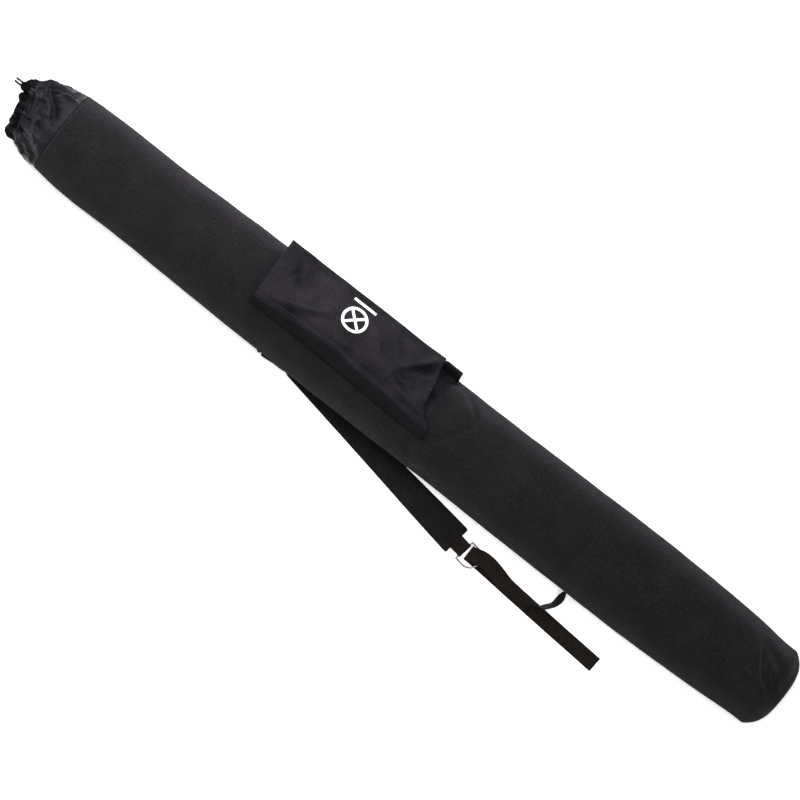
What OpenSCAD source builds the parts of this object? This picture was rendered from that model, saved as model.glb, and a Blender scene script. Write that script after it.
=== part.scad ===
// Long padded tube bag for a stick-shaped instrument: drawcord neck, flap pocket, shoulder strap.
// Millimetres. X runs from the neck (-) to the base (+), Y is across, Z is up.
// The origin is the middle of the flat strip that the tube rests on, halfway along the bag.

/* [Tube] */
// Length of the padded tube, from the neck seam to the base
body_l = 1375; // [1300:5:1450]
// Width of the tube lying down
body_w = 151; // [148:1:154]
// Height of the full oval, before its underside is pressed flat
body_h = 105; // [103:1:107]
// How far the oval is pressed flat by the surface it lies on
body_press = 1.5; // [1:0.5:2.5]
// Corner radius of the base, seen from above
base_corner_r = 45; // [35:1:50]
// Corner radius of the base, seen from the side
base_edge_r = 28; // [20:1:32]
// Depth of the base cap beyond its seam
base_cap_l = 14; // [12:1:20]
// Thickness of the outer woven fabric
fabric_t = 1.2; // [1:0.1:1.4]
// Thickness of the foam padding
foam_t = 6; // [5:0.5:6.5]
// Thickness of the lining
lining_t = 0.8; // [0.6:0.1:1]

/* [Neck] */
// Length from the tips of the cord tails to the neck seam
head_l = 102; // [102:1:104]
// Width of the gathered mouth
mouth_w = 81; // [79:1:83]
// Height of the gathered mouth
mouth_h = 49; // [47:1:51]
// How far the mouth's plane is turned about Z
mouth_turn = 12; // [8:1:14]
// Length of the hem that holds the drawcord
hem_l = 24; // [22:1:25]
// Thickness of the hem with its tunnel
hem_t = 6.2; // [6:0.1:6.5]
// Thickness of the neck's nylon
neck_t = 1; // [0.8:0.1:1.2]
// Diameter of the drawcord
cord_d = 4; // [3.6:0.1:4.2]

/* [Pocket] */
// Length of the pocket along the tube
pocket_l = 320; // [300:2:330]
// Place of the pocket's middle along the tube
pocket_x = -98; // [-110:1:-90]
// Side offset of the flap's fold
fold_y = -12; // [-14:1:-10]
// Height of the flap's fold
fold_z = 132; // [130:1:136]
// Side offset of the flap's free edge
edge_y = 87; // [85:1:89]
// Height of the flap's free edge
edge_z = 104; // [102:1:107]
// Side offset of the seam where the pocket's upper wall meets the tube
root_y = -27; // [-30:1:-25]
// Overhang of the flap past each end of the pocket
flap_over = 5; // [3:1:7]
// Radius of the printed ring
emblem_r = 21; // [16:1:24]

/* [Strap] */
// Width of the webbing
webbing_w = 25; // [24:0.5:26]
// Thickness of the webbing
webbing_t = 1.6; // [1.4:0.1:1.8]
// Width of the shoulder pad at its buckle end
pad_w = 46.5; // [44:0.5:48]
// Thickness of the shoulder pad
pad_t = 6; // [5.5:0.5:6.5]
// Wire diameter of the strap rings
wire_d = 2.6; // [2.2:0.1:2.8]
// Inside width of the strap rings
ring_w = 32; // [31:0.5:33]

/* [Hidden] */

// Clearance between separate sewn layers, and the smallest gap between moving pieces
gap = 0.2;
run_gap = 0.5;
// Points round the tube's oval
oval_n = 48;

overall_l = body_l + head_l;
seam_x = head_l - overall_l / 2;
base_x = overall_l / 2;
cap_x = base_x - base_cap_l;
oval_z = body_h / 2 - body_press;
lining_in = fabric_t + foam_t + lining_t + 2 * gap;

charcoal = [0.16, 0.16, 0.17];
nylon = [0.22, 0.21, 0.24];
webbing_black = [0.13, 0.12, 0.11];

function unit(v) = v / norm(v);

// ---- Tube -------------------------------------------------------------------------------------

// Cross-section of the tube in Y and Z, drawn in by inset, with its flat underside
function tube_section(inset) = [
    for (i = [0 : oval_n - 1]) let (a = 360 * i / oval_n) [
        (body_w / 2 - inset) * cos(a),
        max(inset, oval_z + (body_h / 2 - inset) * sin(a))
    ]
];

// Outline with two corners of radius r at its far end, from u = 0 to u1 and from v0 to v1
function round_end(u1, v0, v1, r) = concat(
    [[0, v1], [0, v0]],
    [for (a = [-90 : 10 : 0]) [u1 - r + r * cos(a), v0 + r + r * sin(a)]],
    [for (a = [0 : 10 : 90]) [u1 - r + r * cos(a), v1 - r + r * sin(a)]]
);

// Extrudes a Y-Z outline from x0 to x1
module along_x(x0, x1) {
    translate([x0, 0, 0]) rotate([90, 0, 90]) linear_extrude(x1 - x0) children();
}

// The closed form of the tube, drawn in by inset, from x0 to the rounded base
module tube_form(inset, x0) {
    top = oval_z + body_h / 2;
    reach = base_x - inset - x0;
    intersection() {
        along_x(x0, base_x - inset) polygon(tube_section(inset));
        translate([x0, 0, -1]) linear_extrude(top + 2)
            polygon(round_end(reach, inset - body_w / 2, body_w / 2 - inset, base_corner_r - inset));
        translate([x0, body_w, 0]) rotate([90, 0, 0]) linear_extrude(2 * body_w)
            polygon(round_end(reach, inset, top - inset, base_edge_r - inset));
    }
}

// One layer of the tube, between two insets
module tube_layer(outer, inner) {
    difference() {
        tube_form(outer, seam_x);
        tube_form(inner, seam_x - 1);
    }
}

module before_cap() {
    intersection() {
        children();
        translate([seam_x - 1, -body_w, -1]) cube([cap_x - gap / 2 - seam_x + 1, 2 * body_w, 2 * body_h]);
    }
}

module in_cap() {
    intersection() {
        children();
        translate([cap_x + gap / 2, -body_w, -1]) cube([base_cap_l + 1, 2 * body_w, 2 * body_h]);
    }
}

module outer_shell() {
    color(charcoal) before_cap() tube_layer(0, fabric_t);
}

module foam_padding() {
    color("dimgray") before_cap() tube_layer(fabric_t + gap, fabric_t + gap + foam_t);
}

module inner_lining() {
    color(nylon) before_cap() tube_layer(lining_in - lining_t, lining_in);
}

module base_panel() {
    color(charcoal) in_cap() tube_layer(0, fabric_t);
}

module base_foam() {
    color("dimgray") in_cap() tube_layer(fabric_t + gap, fabric_t + gap + foam_t);
}

module base_lining() {
    color(nylon) in_cap() tube_layer(lining_in - lining_t, lining_in);
}

// Binding sewn over the seam between the tube and its base, inside the bag
module base_seam_tape() {
    tape_l = 16;
    tape_t = 0.8;
    color(webbing_black) intersection() {
        tube_layer(lining_in + gap, lining_in + gap + tape_t);
        translate([cap_x - tape_l, -body_w, -1]) cube([tape_l - 2, 2 * body_w, 2 * body_h]);
    }
}

// ---- Neck -------------------------------------------------------------------------------------

// Middle of the mouth's front edge
mouth = [-718, -10, 38];
tunnel_x = 19;
hem_skin = 0.9;

function oval(w, h, grow) = [
    for (i = [0 : 39]) [(w / 2 + grow) * cos(9 * i), (h / 2 + grow) * sin(9 * i)]
];

// Puts children in the mouth's own frame: X into the bag, from the mouth's front edge
module at_mouth() {
    translate(mouth) rotate([0, 0, mouth_turn]) children();
}

// The neck as a solid: the tube's oval, a full shoulder, then the gathered mouth
module neck_form(inset, over) {
    hull() {
        translate([seam_x - gap - 1 + over, 0, oval_z]) along_x(0, 1) polygon(oval(141, 100.5, -inset));
        translate([seam_x - 27, -1, 47]) along_x(0, 1) polygon(oval(127, 88, -inset));
        at_mouth() along_x(hem_l + gap - over, hem_l + gap + 1 - over) polygon(oval(mouth_w, mouth_h, -inset));
    }
}

module neck_collar() {
    color(nylon) difference() {
        neck_form(0, 0);
        neck_form(neck_t, 0.01);
    }
}

// Binding that covers the seam between the tube's mouth and the neck, inside the bag
module neck_seam_tape() {
    tape_l = 14;
    tape_t = 0.8;
    color(webbing_black) difference() {
        along_x(seam_x, seam_x + tape_l) polygon(tube_section(lining_in + gap));
        along_x(seam_x - 1, seam_x + tape_l + 1) polygon(tube_section(lining_in + gap + tape_t));
    }
}

// Folded hem round the mouth, with the drawcord's tunnel and the slot that its tails leave by
module drawcord_hem() {
    tunnel_l = 5.4;
    color(nylon) at_mouth() difference() {
        along_x(0, hem_l) polygon(oval(mouth_w, mouth_h, 0));
        along_x(-1, hem_l + 1) polygon(oval(mouth_w, mouth_h, -hem_t));
        difference() {
            along_x(tunnel_x - tunnel_l / 2, tunnel_x + tunnel_l / 2) polygon(oval(mouth_w, mouth_h, -hem_skin));
            along_x(0, hem_l) polygon(oval(mouth_w, mouth_h, hem_skin - hem_t));
        }
        difference() {
            translate([tunnel_x - tunnel_l / 2 - 0.4, 21, 0]) cube([tunnel_l + 1.2, 13, mouth_h]);
            along_x(0, hem_l) polygon(oval(mouth_w, mouth_h, hem_skin - hem_t));
        }
    }
}

// Tube of diameter d swept along a route, closed at both ends
module swept_cord(route, d, sides) {
    n = len(route);
    rings = [for (i = [0 : n - 1])
        let (
            t = unit(route[min(i + 1, n - 1)] - route[max(i - 1, 0)]),
            across = unit(cross(t, abs(t.x) > 0.9 ? [0, 1, 0] : [1, 0, 0])),
            up = cross(across, t)
        )
        for (k = [0 : sides - 1])
            route[i] + d / 2 * (cos(360 * k / sides) * across + sin(360 * k / sides) * up)];
    sides_faces = [for (i = [0 : n - 2]) for (k = [0 : sides - 1]) let (m = (k + 1) % sides)
        [i * sides + k, i * sides + m, (i + 1) * sides + m, (i + 1) * sides + k]];
    ends = [[for (k = [sides - 1 : -1 : 0]) k], [for (k = [0 : sides - 1]) (n - 1) * sides + k]];
    polyhedron(points = rings, faces = concat(sides_faces, ends), convexity = 4);
}

// The drawcord inside its tunnel: nearly a full turn round the mouth
module drawcord() {
    turn = [for (i = [0 : 47]) let (a = 62 + i * 322 / 47) [
        tunnel_x,
        (mouth_w / 2 - hem_t / 2) * cos(a),
        (mouth_h / 2 - hem_t / 2) * sin(a)
    ]];
    color("black") at_mouth() swept_cord(turn, cord_d, 8);
}

// Route of the cord's two ends, from the hem's slot, through the lock, to their tips
tail_route = [
    [-705, 0, 54], [-705.5, 0, 59], [-707, 0, 64], [-709.5, 0, 67.6],
    [-712.5, 0, 69.3], [-716, 0, 69.5], [-722, 0, 69.5], [-728, 0, 69.5],
    [-733, 0, 69.5], [-736, 0, 69.3], [-738.5, 0, 68.9]
];
tail_y = 21.5;
tail_pitch = 5;

module cord_tail_a() {
    color("black") translate([0, tail_y - tail_pitch / 2, 0]) swept_cord(tail_route, cord_d, 8);
}

module cord_tail_b() {
    color("black") translate([0, tail_y + tail_pitch / 2, 0]) swept_cord(tail_route, cord_d, 8);
}

// Cord lock: a round barrel with a spring button on top, and one slot through both for the cords
lock_x = -719.3;
lock_z = 59;
lock_h = 15.5;
lock_d = 15.6;
well_d = 12.6;
well_floor = 1.5;
button_d = 12.2;
button_travel = 2.5;
spring_h = 4.9;
cord_z = 69.5;
slot_w = tail_pitch + cord_d + 1.2;
slot_h = cord_d + 2.2;

module at_lock() {
    translate([lock_x, tail_y, lock_z]) children();
}

module cord_slot(low, high) {
    translate([-lock_d, -slot_w / 2, cord_z - lock_z - low]) cube([2 * lock_d, slot_w, low + high]);
}

module cord_lock_body() {
    color("black") at_lock() difference() {
        cylinder(h = lock_h, d = lock_d, $fn = 48);
        translate([0, 0, well_floor]) cylinder(h = lock_h, d = well_d, $fn = 48);
        cord_slot(slot_h / 2, slot_h / 2);
    }
}

module cord_lock_button() {
    foot = well_floor + spring_h + 0.2;
    color("black") at_lock() difference() {
        union() {
            translate([0, 0, foot]) cylinder(h = lock_h + 3.6 - foot, d = button_d, $fn = 48);
            translate([0, 0, lock_h + button_travel + 0.3]) cylinder(h = 2.2, d = 14.5, $fn = 48);
        }
        cord_slot(slot_h / 2, slot_h / 2 + button_travel);
    }
}

// Spring under the button: turns of wire between the well's floor and the button's foot
module cord_lock_spring() {
    turns = 2.5;
    steps = 16;
    coil_d = 8;
    coil_wire = 0.6;
    rise = spring_h - coil_wire - 0.2;
    coil = [for (i = [0 : turns * steps]) let (a = 360 * i / steps) [
        coil_d / 2 * cos(a),
        coil_d / 2 * sin(a),
        well_floor + coil_wire / 2 + 0.1 + rise * i / (turns * steps)
    ]];
    color("silver") at_lock() swept_cord(coil, coil_wire, 6);
}

// ---- Pocket -----------------------------------------------------------------------------------

pocket_x0 = pocket_x - pocket_l / 2;
pocket_x1 = pocket_x + pocket_l / 2;
wall_t = 1.2;
fold = [fold_y, fold_z];
flap_edge = [edge_y, edge_z];
flap_w = norm(flap_edge - fold);
flap_tilt = atan2(edge_z - fold_z, edge_y - fold_y);
flap_t = 1.2;
front_depth = 4.2;

// Point in Y and Z at distance s from the fold along the flap, and depth d below it
function on_flap(s, d) = fold + [
    s * cos(flap_tilt) + d * sin(flap_tilt),
    s * sin(flap_tilt) - d * cos(flap_tilt)
];

// A flat layer parallel to the flap
module flap_layer(x0, x1, s0, s1, d0, d1) {
    along_x(x0, x1) polygon([on_flap(s0, d0), on_flap(s1, d0), on_flap(s1, d1), on_flap(s0, d1)]);
}

// Removes the tube, with the sewing clearance
module clear_of_tube() {
    difference() {
        children();
        along_x(pocket_x0 - 20, pocket_x1 + 20) polygon(tube_section(-gap));
    }
}

// Two end walls and the far wall, one folded strip
module pocket_gusset() {
    top = front_depth + flap_t + gap;
    far_foot = [72.5, 66];
    near = 1.6;
    color(nylon) clear_of_tube() difference() {
        along_x(pocket_x0, pocket_x1) polygon([
            [root_y + near, oval_z + 30], [root_y + near + 0.3, oval_z + body_h / 2 - 4],
            on_flap(near, top), on_flap(flap_w - near, top), far_foot, [0, oval_z]
        ]);
        along_x(pocket_x0 + wall_t, pocket_x1 - wall_t) polygon([
            [root_y - 10, oval_z - 1], [root_y - 10, fold_z + 5], on_flap(flap_w - near - wall_t, -5),
            on_flap(flap_w - near - wall_t, top), far_foot - [wall_t, 0], [0, oval_z - 1]
        ]);
    }
}

// The wall that rises from the tube to the flap's fold, on the strap's side
module pocket_upper_wall() {
    root = [root_y, oval_z + body_h / 2 - 6];
    rise = unit(fold - root);
    side = [rise.y, -rise.x];
    top = fold - 1.3 * rise;
    color(nylon) clear_of_tube() along_x(pocket_x0, pocket_x1) polygon([
        root - side * wall_t / 2, top - side * wall_t / 2, top + side * wall_t / 2, root + side * wall_t / 2
    ]);
}

module pocket_front() {
    color(nylon) flap_layer(
        pocket_x0 + 1, pocket_x1 - 1, 16, flap_w - 2, front_depth, front_depth + flap_t
    );
}

module pocket_mouth_binding() {
    color(webbing_black) flap_layer(
        pocket_x0 + 3, pocket_x1 - 3, 12.6, 15.8, front_depth - 0.4, front_depth + flap_t + 0.4
    );
}

// Both halves of the touch fastener lie face to face when the flap is shut
fastener_x0 = pocket_x - 90;
fastener_x1 = pocket_x + 90;
fastener_s0 = flap_w - 34;
fastener_s1 = flap_w - 14;

module pocket_loop_strip() {
    color("black") flap_layer(
        fastener_x0, fastener_x1, fastener_s0, fastener_s1, 2.6, front_depth - 0.1
    );
}

module flap_hook_strip() {
    color("black") flap_layer(fastener_x0, fastener_x1, fastener_s0, fastener_s1, flap_t / 2 + 0.1, 2.1);
}

module pocket_flap() {
    color(nylon) flap_layer(
        pocket_x0 - flap_over, pocket_x1 + flap_over, 0.7, flap_w, -flap_t / 2, flap_t / 2
    );
}

// Topstitched welt along the fold
module flap_fold_welt() {
    color("gray") flap_layer(
        pocket_x0 - flap_over, pocket_x1 + flap_over, 1.2, 7, -flap_t / 2 - 0.7, -flap_t / 2 - 0.1
    );
}

// Hem turned under along the flap's three free edges
module flap_hem() {
    hem = 11;
    under = flap_t / 2 + 0.1;
    color(nylon) union() {
        flap_layer(pocket_x0 - flap_over, pocket_x0 - flap_over + hem, 8, flap_w, under, under + 0.8);
        flap_layer(pocket_x1 + flap_over - hem, pocket_x1 + flap_over, 8, flap_w, under, under + 0.8);
        flap_layer(pocket_x0, pocket_x1, flap_w - hem, flap_w, under, under + 0.8);
    }
}

// Plain printed mark: two crossed sticks in a ring, with a bar beside it
module flap_emblem() {
    line = 4;
    ink_t = 0.3;
    stick_l = 2 * emblem_r - line;
    emblem_x = -116;
    emblem_s = 59;
    bar_s = 88;
    color("white")
        translate([emblem_x, fold_y, fold_z]) rotate([flap_tilt, 0, 0])
            translate([0, 0, flap_t / 2 + 0.1]) {
                translate([0, emblem_s, 0]) {
                    difference() {
                        cylinder(h = ink_t, r = emblem_r, $fn = 64);
                        translate([0, 0, -1]) cylinder(h = ink_t + 2, r = emblem_r - line, $fn = 64);
                    }
                    for (turn = [45, -45]) rotate([0, 0, turn])
                        translate([-stick_l / 2, -line / 2, 0]) cube([stick_l, line, ink_t]);
                }
                translate([-20, bar_s - 2, 0]) cube([40, 4, ink_t]);
            }
}

// ---- Strap ------------------------------------------------------------------------------------

// The strap swings about a line through its two sewn ends
swing_y = -75.5;
swing_z = 26.5;
upper_end_x = -200;
lower_end_x = 384;
floor_gap = 0.3;
// The anchor patches cover the tube's side between these heights
patch_low = 14;
patch_high = 40;

// Flat band swept along a route; each stop is [place, direction across the band, width]
module band(stops, t) {
    n = len(stops);
    points = [for (i = [0 : n - 1])
        let (
            along = unit(stops[min(i + 1, n - 1)][0] - stops[max(i - 1, 0)][0]),
            given = stops[i][1],
            across = unit(given - (given * along) * along),
            face = cross(along, across),
            half = stops[i][2] / 2
        )
        for (c = [[-1, -1], [1, -1], [1, 1], [-1, 1]])
            stops[i][0] + c.x * half * across + c.y * t / 2 * face];
    sides = [for (i = [0 : n - 2]) for (k = [0 : 3]) let (m = (k + 1) % 4, a = i * 4, b = a + 4)
        for (face = [[a + m, a + k, b + k], [a + m, b + k, b + m]]) face];
    ends = [[0, 1, 2], [0, 2, 3], [n * 4 - 4, n * 4 - 2, n * 4 - 3], [n * 4 - 4, n * 4 - 1, n * 4 - 2]];
    polyhedron(points = points, faces = concat(sides, ends), convexity = 6);
}

// Patch sewn to the tube's lower side, with a short tab that reaches the swing line
module anchor_patch(x0, x1, tab_x, tab_l) {
    reach = 2.6;
    skin = 1.4;
    difference() {
        along_x(x0, x1) polygon(tube_section(-gap - skin));
        along_x(x0 - 1, x1 + 1) polygon(tube_section(-gap));
        translate([x0 - 1, -body_w, -body_h]) cube([x1 - x0 + 2, 2 * body_w, body_h + patch_low]);
        translate([x0 - 1, -body_w, patch_high]) cube([x1 - x0 + 2, 2 * body_w, body_h]);
        translate([x0 - 1, -body_w / 3, 0]) cube([x1 - x0 + 2, 2 * body_w, body_h]);
    }
    difference() {
        translate([tab_x, swing_y, swing_z]) rotate([0, 90, 0]) {
            cylinder(h = tab_l, r = reach, $fn = 32);
            rotate([0, 0, 125]) translate([0, -reach, 0]) cube([9, 2 * reach, tab_l]);
        }
        along_x(tab_x - 1, tab_x + tab_l + 1) polygon(tube_section(-gap));
    }
}

module upper_anchor_patch() {
    tab_l = 6;
    color(webbing_black) anchor_patch(
        upper_end_x - 40, upper_end_x - run_gap, upper_end_x - run_gap - tab_l, tab_l
    );
}

module lower_anchor_patch() {
    tab_l = 3;
    color(webbing_black) anchor_patch(
        lower_end_x - 16, lower_end_x + 10, lower_end_x - run_gap - webbing_t / 2 - tab_l, tab_l
    );
}

// Webbing from the pad's hidden end up to the upper anchor, folded narrow where it is sewn
module strap_upper_webbing() {
    color(webbing_black) band([
        [[upper_end_x + 2, swing_y, swing_z], [0, 0.57, -0.82], 10],
        [[-193, -75.3, 25.4], [0, 0.57, -0.82], 11],
        [[-182, -73.5, 18], [0, 0.6, -0.8], 13],
        [[-172, -71, 11.5], [0, 0.8, -0.6], 16],
        [[-162, -68.5, 6], [0, 1, -0.25], 19],
        [[-154.5, -66.8, 3.4], [0, 1, -0.05], 20],
        [[-150.4, -66.8, 3.3], [0, 1, 0], 20]
    ], webbing_t);
}

// The pad's outline from above: straight outer edge, inner edge closing in towards the hidden end
pad_end = [209, -117.8];
pad_out = [206, -141];
pad_in = pad_out + pad_w * unit([6, 46.5]);
pad_tip_out = [-150, -77.5];
pad_tip_in = [-150, -55.5];

module pad_plan(inset, z0, z1) {
    outline = [
        pad_tip_out + [inset, inset], pad_out + [-inset, inset],
        pad_in + [-inset, -inset], [83, -79 - inset], pad_tip_in + [inset, -inset]
    ];
    translate([0, 0, z0]) linear_extrude(z1 - z0) polygon(outline);
}

// Webbing inside the pad, from one end to the other
core_z = floor_gap + pad_t - 2.8;

module core_space(grow, z0, z1) {
    w = webbing_w - 5 + 2 * grow;
    translate([-149.6 + 1.2 - grow, -66.5, z0]) rotate([0, 0, -8.1])
        translate([0, -w / 2, 0]) cube([356 + 2 * grow, w, z1 - z0]);
}

module pad_backing() {
    color(charcoal) pad_plan(0, floor_gap, floor_gap + 1);
}

module pad_foam() {
    color("dimgray") pad_plan(1.2, floor_gap + 1 + gap / 2, core_z - gap / 2);
}

module pad_core_webbing() {
    color(webbing_black) core_space(0, core_z, core_z + 1.4);
}

module pad_top() {
    color(charcoal) difference() {
        pad_plan(0, floor_gap + 1 + gap / 2, floor_gap + pad_t);
        pad_plan(1.1, floor_gap + 1, core_z);
        core_space(gap, core_z - 1, core_z + 1.4 + gap);
    }
}

// The rings lie in the end of the pad, turned a little about Z
ring_turn = -9;
ring_bar = [226, -122];
ring_leg = 12.6;
ring_z_low = floor_gap + 3.1;
ring_z_high = ring_z_low + wire_d + 0.3;

module at_rings() {
    translate(ring_bar) rotate([0, 0, ring_turn]) children();
}

// Wire ring in the shape of a D: straight bar, two legs and a half circle
module wire_ring() {
    r = ring_w / 2 + wire_d / 2;
    rotate([90, 0, 0]) cylinder(h = 2 * r, d = wire_d, center = true, $fn = 24);
    for (side = [-1, 1]) translate([0, side * r, 0]) {
        sphere(d = wire_d, $fn = 24);
        rotate([0, 90, 0]) cylinder(h = ring_leg, d = wire_d, $fn = 24);
    }
    translate([ring_leg, 0, 0]) rotate([0, 0, -90])
        rotate_extrude(angle = 180, $fn = 64) translate([r, 0]) circle(d = wire_d, $fn = 24);
}

module strap_ring_lower() {
    color("silver") at_rings() translate([0, 0, ring_z_low]) wire_ring();
}

module strap_ring_upper() {
    color("silver") at_rings() translate([0, 0, ring_z_high]) wire_ring();
}

// Outline in X and Z of a band folded round both ring bars, from the pad's end and back
function fold_outline(reach_x, rx, rz, mouth_half) = concat(
    [[reach_x, mouth_half]],
    [for (a = [90 : -15 : -90]) [rx * cos(a), rz * sin(a)]],
    [[reach_x, -mouth_half]]
);

module pad_end_loop() {
    mid_z = (ring_z_low + ring_z_high) / 2;
    rz = wire_d + 0.15 + 0.4;
    rx = wire_d / 2 + 0.4;
    t = 1.3;
    back = -16.6;
    inner = fold_outline(back, rx, rz, 0.3);
    outer = fold_outline(back, rx + t, rz + t, 0.3 + t);
    inner_back = [for (i = [len(inner) - 1 : -1 : 0]) inner[i]];
    color(webbing_black) at_rings() translate([0, webbing_w / 2, mid_z]) rotate([90, 0, 0])
        linear_extrude(webbing_w) polygon(concat(outer, inner_back));
}

// One length of webbing: out from the lower anchor on edge, over the rings, through them and back
run_z = ring_z_high + wire_d / 2 + webbing_t / 2 + 0.4;
tail_z = floor_gap + webbing_t / 2;
wrap_x = 241;
wrap_y = -121;
wrap_r = (run_z - tail_z) / 2;
tail_split = [386.6, -131.2];
tail_tip = [488, -137.4];

module adjuster_webbing() {
    flat = [0.06, 1, 0];
    run = [
        [[lower_end_x, swing_y, swing_z], [0, 0.2, 1], 7],
        [[384, -84, 24.6], [0, 0.2, 1], 8],
        [[383.5, -95, 20.5], [0, 0.2, 1], 17],
        [[380, -107, 17], [0, 0.1, 1], 24],
        [[371, -117, 15], [0, 0.2, 1], webbing_w],
        [[357, -122.5, 13.6], [0, 0.6, 1], webbing_w],
        [[342, -125, 11.2], [0, 1, 0.8], webbing_w],
        [[326, -126, 9.4], [0, 1, 0.35], webbing_w],
        [[308, -125, run_z], [0.05, 1, 0.1], webbing_w],
        [[290, -120.5, run_z], [0.15, 1, 0], webbing_w],
        [[272, -116.5, run_z], [0.1, 1, 0], webbing_w],
        [[256, -116, run_z], [-0.1, 1, 0], webbing_w],
        [[247, -118.5, run_z], [-0.1, 1, 0], webbing_w]
    ];
    wrap = [for (a = [90 : 20 : 270]) [
        [wrap_x + wrap_r * cos(a), wrap_y, (run_z + tail_z) / 2 + wrap_r * sin(a)], [0, 1, 0], webbing_w
    ]];
    under = [
        [[252, -121.8, tail_z], flat, webbing_w],
        [[300, -125.2, tail_z], flat, webbing_w],
        [[tail_split.x, tail_split.y, tail_z], flat, webbing_w]
    ];
    color(webbing_black) band(concat(run, wrap, under), webbing_t);
}

module strap_tail() {
    start = concat(tail_split + 0.9 * unit(tail_tip - tail_split), tail_z);
    color(webbing_black) band([
        [start, [0.06, 1, 0], webbing_w],
        [concat(tail_tip, tail_z), [0.06, 1, 0], webbing_w]
    ], webbing_t);
}

// The tail's end, folded over on itself and sewn
module tail_hem() {
    hem_z = tail_z + webbing_t + 0.1;
    back = concat(tail_tip - 15 * unit(tail_tip - tail_split), hem_z);
    color(webbing_black) band([
        [back, [0.06, 1, 0], webbing_w],
        [concat(tail_tip, hem_z), [0.06, 1, 0], webbing_w]
    ], webbing_t);
}

outer_shell();
foam_padding();
inner_lining();
base_panel();
base_foam();
base_lining();
base_seam_tape();
neck_collar();
neck_seam_tape();
drawcord_hem();
drawcord();
cord_tail_a();
cord_tail_b();
cord_lock_body();
cord_lock_button();
cord_lock_spring();
pocket_gusset();
pocket_upper_wall();
pocket_front();
pocket_mouth_binding();
pocket_loop_strip();
pocket_flap();
flap_fold_welt();
flap_hem();
flap_hook_strip();
flap_emblem();
upper_anchor_patch();
lower_anchor_patch();
strap_upper_webbing();
pad_top();
pad_foam();
pad_backing();
pad_core_webbing();
pad_end_loop();
strap_ring_upper();
strap_ring_lower();
adjuster_webbing();
strap_tail();
tail_hem();
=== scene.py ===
"""Looks of a long padded tube bag: cloth, webbing, cord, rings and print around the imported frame."""
import math

import bmesh
import bpy
import numpy as np
from mathutils import Matrix, Vector, noise


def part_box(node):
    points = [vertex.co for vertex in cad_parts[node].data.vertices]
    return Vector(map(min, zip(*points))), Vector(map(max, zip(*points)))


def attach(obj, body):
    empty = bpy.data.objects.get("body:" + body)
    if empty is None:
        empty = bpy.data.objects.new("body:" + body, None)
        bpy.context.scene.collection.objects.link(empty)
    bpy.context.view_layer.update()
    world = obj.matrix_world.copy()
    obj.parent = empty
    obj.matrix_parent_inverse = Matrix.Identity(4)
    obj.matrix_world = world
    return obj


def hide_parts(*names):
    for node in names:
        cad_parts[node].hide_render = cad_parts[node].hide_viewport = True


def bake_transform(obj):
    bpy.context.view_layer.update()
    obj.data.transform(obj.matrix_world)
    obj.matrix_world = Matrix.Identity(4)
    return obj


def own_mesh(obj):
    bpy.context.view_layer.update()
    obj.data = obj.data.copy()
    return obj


MM = 0.001
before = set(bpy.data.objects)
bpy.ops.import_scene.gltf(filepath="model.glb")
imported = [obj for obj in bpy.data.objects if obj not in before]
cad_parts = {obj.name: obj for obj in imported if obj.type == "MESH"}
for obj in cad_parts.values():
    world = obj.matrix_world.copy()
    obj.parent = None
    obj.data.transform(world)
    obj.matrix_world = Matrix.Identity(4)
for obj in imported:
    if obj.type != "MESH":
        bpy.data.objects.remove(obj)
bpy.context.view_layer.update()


def box_mm(node):
    """Lowest and highest corner of a CAD node, in millimetres."""
    low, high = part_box(node)
    return np.array(low) / MM, np.array(high) / MM


# ---- Places read from the frame, in millimetres --------------------------------------------------

shell_low, shell_high = box_mm("outer_shell")
cap_low, cap_high = box_mm("base_panel")
flap_low, flap_high = box_mm("pocket_flap")
base_drawn_in = 3.5
seam_x, cap_x, base_x = shell_low[0], cap_low[0], cap_high[0] - base_drawn_in
tube_half_h = 52.5
tube_mid_z = shell_high[2] - tube_half_h
full_turn = 2 * np.pi


# ---- Small tools ---------------------------------------------------------------------------------


def smooth(low, high, value):
    """0 below low, 1 above high, and a smooth rise between."""
    t = np.clip((np.asarray(value, float) - low) / (high - low), 0, 1)
    return t * t * (3 - 2 * t)


def through(points, at):
    """Smooth value at 'at' along given (place, value) pairs."""
    places, values = zip(*points)
    at = np.asarray(at, float)
    k = np.clip(np.searchsorted(places, at, side="right") - 1, 0, len(places) - 2)
    places, values = np.array(places, float), np.array(values, float)
    t = np.clip((at - places[k]) / (places[k + 1] - places[k]), 0, 1)
    slope = np.gradient(values, places)
    step = places[k + 1] - places[k]
    return (
        (2 * t**3 - 3 * t**2 + 1) * values[k]
        + (t**3 - 2 * t**2 + t) * step * slope[k]
        + (3 * t**2 - 2 * t**3) * values[k + 1]
        + (t**3 - t**2) * step * slope[k + 1]
    )


def lattice(first, second):
    """Every pair of two lists of values, as two grids."""
    return np.meshgrid(first, second, indexing="ij")


def ripple(points, scale, seed=0.0):
    """Smooth noise from -1 to 1 at each point of an (..., 3) array; scale is its grain in mm."""
    flat = np.asarray(points, float).reshape(-1, 3) / scale + seed
    return np.array([noise.noise(Vector(p)) for p in flat]).reshape(np.shape(points)[:-1])


def distance_to(path, x, y):
    """Distance in plan from each (x, y) to a line through the path's points, and the share along it."""
    best = np.full(np.shape(x), 1e9)
    share = np.zeros(np.shape(x))
    for i, ((ax, ay), (bx, by)) in enumerate(zip(path[:-1], path[1:])):
        dx, dy = bx - ax, by - ay
        t = np.clip(((x - ax) * dx + (y - ay) * dy) / (dx * dx + dy * dy), 0, 1)
        far = np.hypot(x - ax - t * dx, y - ay - t * dy)
        share = np.where(far < best, (i + t) / (len(path) - 1), share)
        best = np.minimum(best, far)
    return best, share


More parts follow.
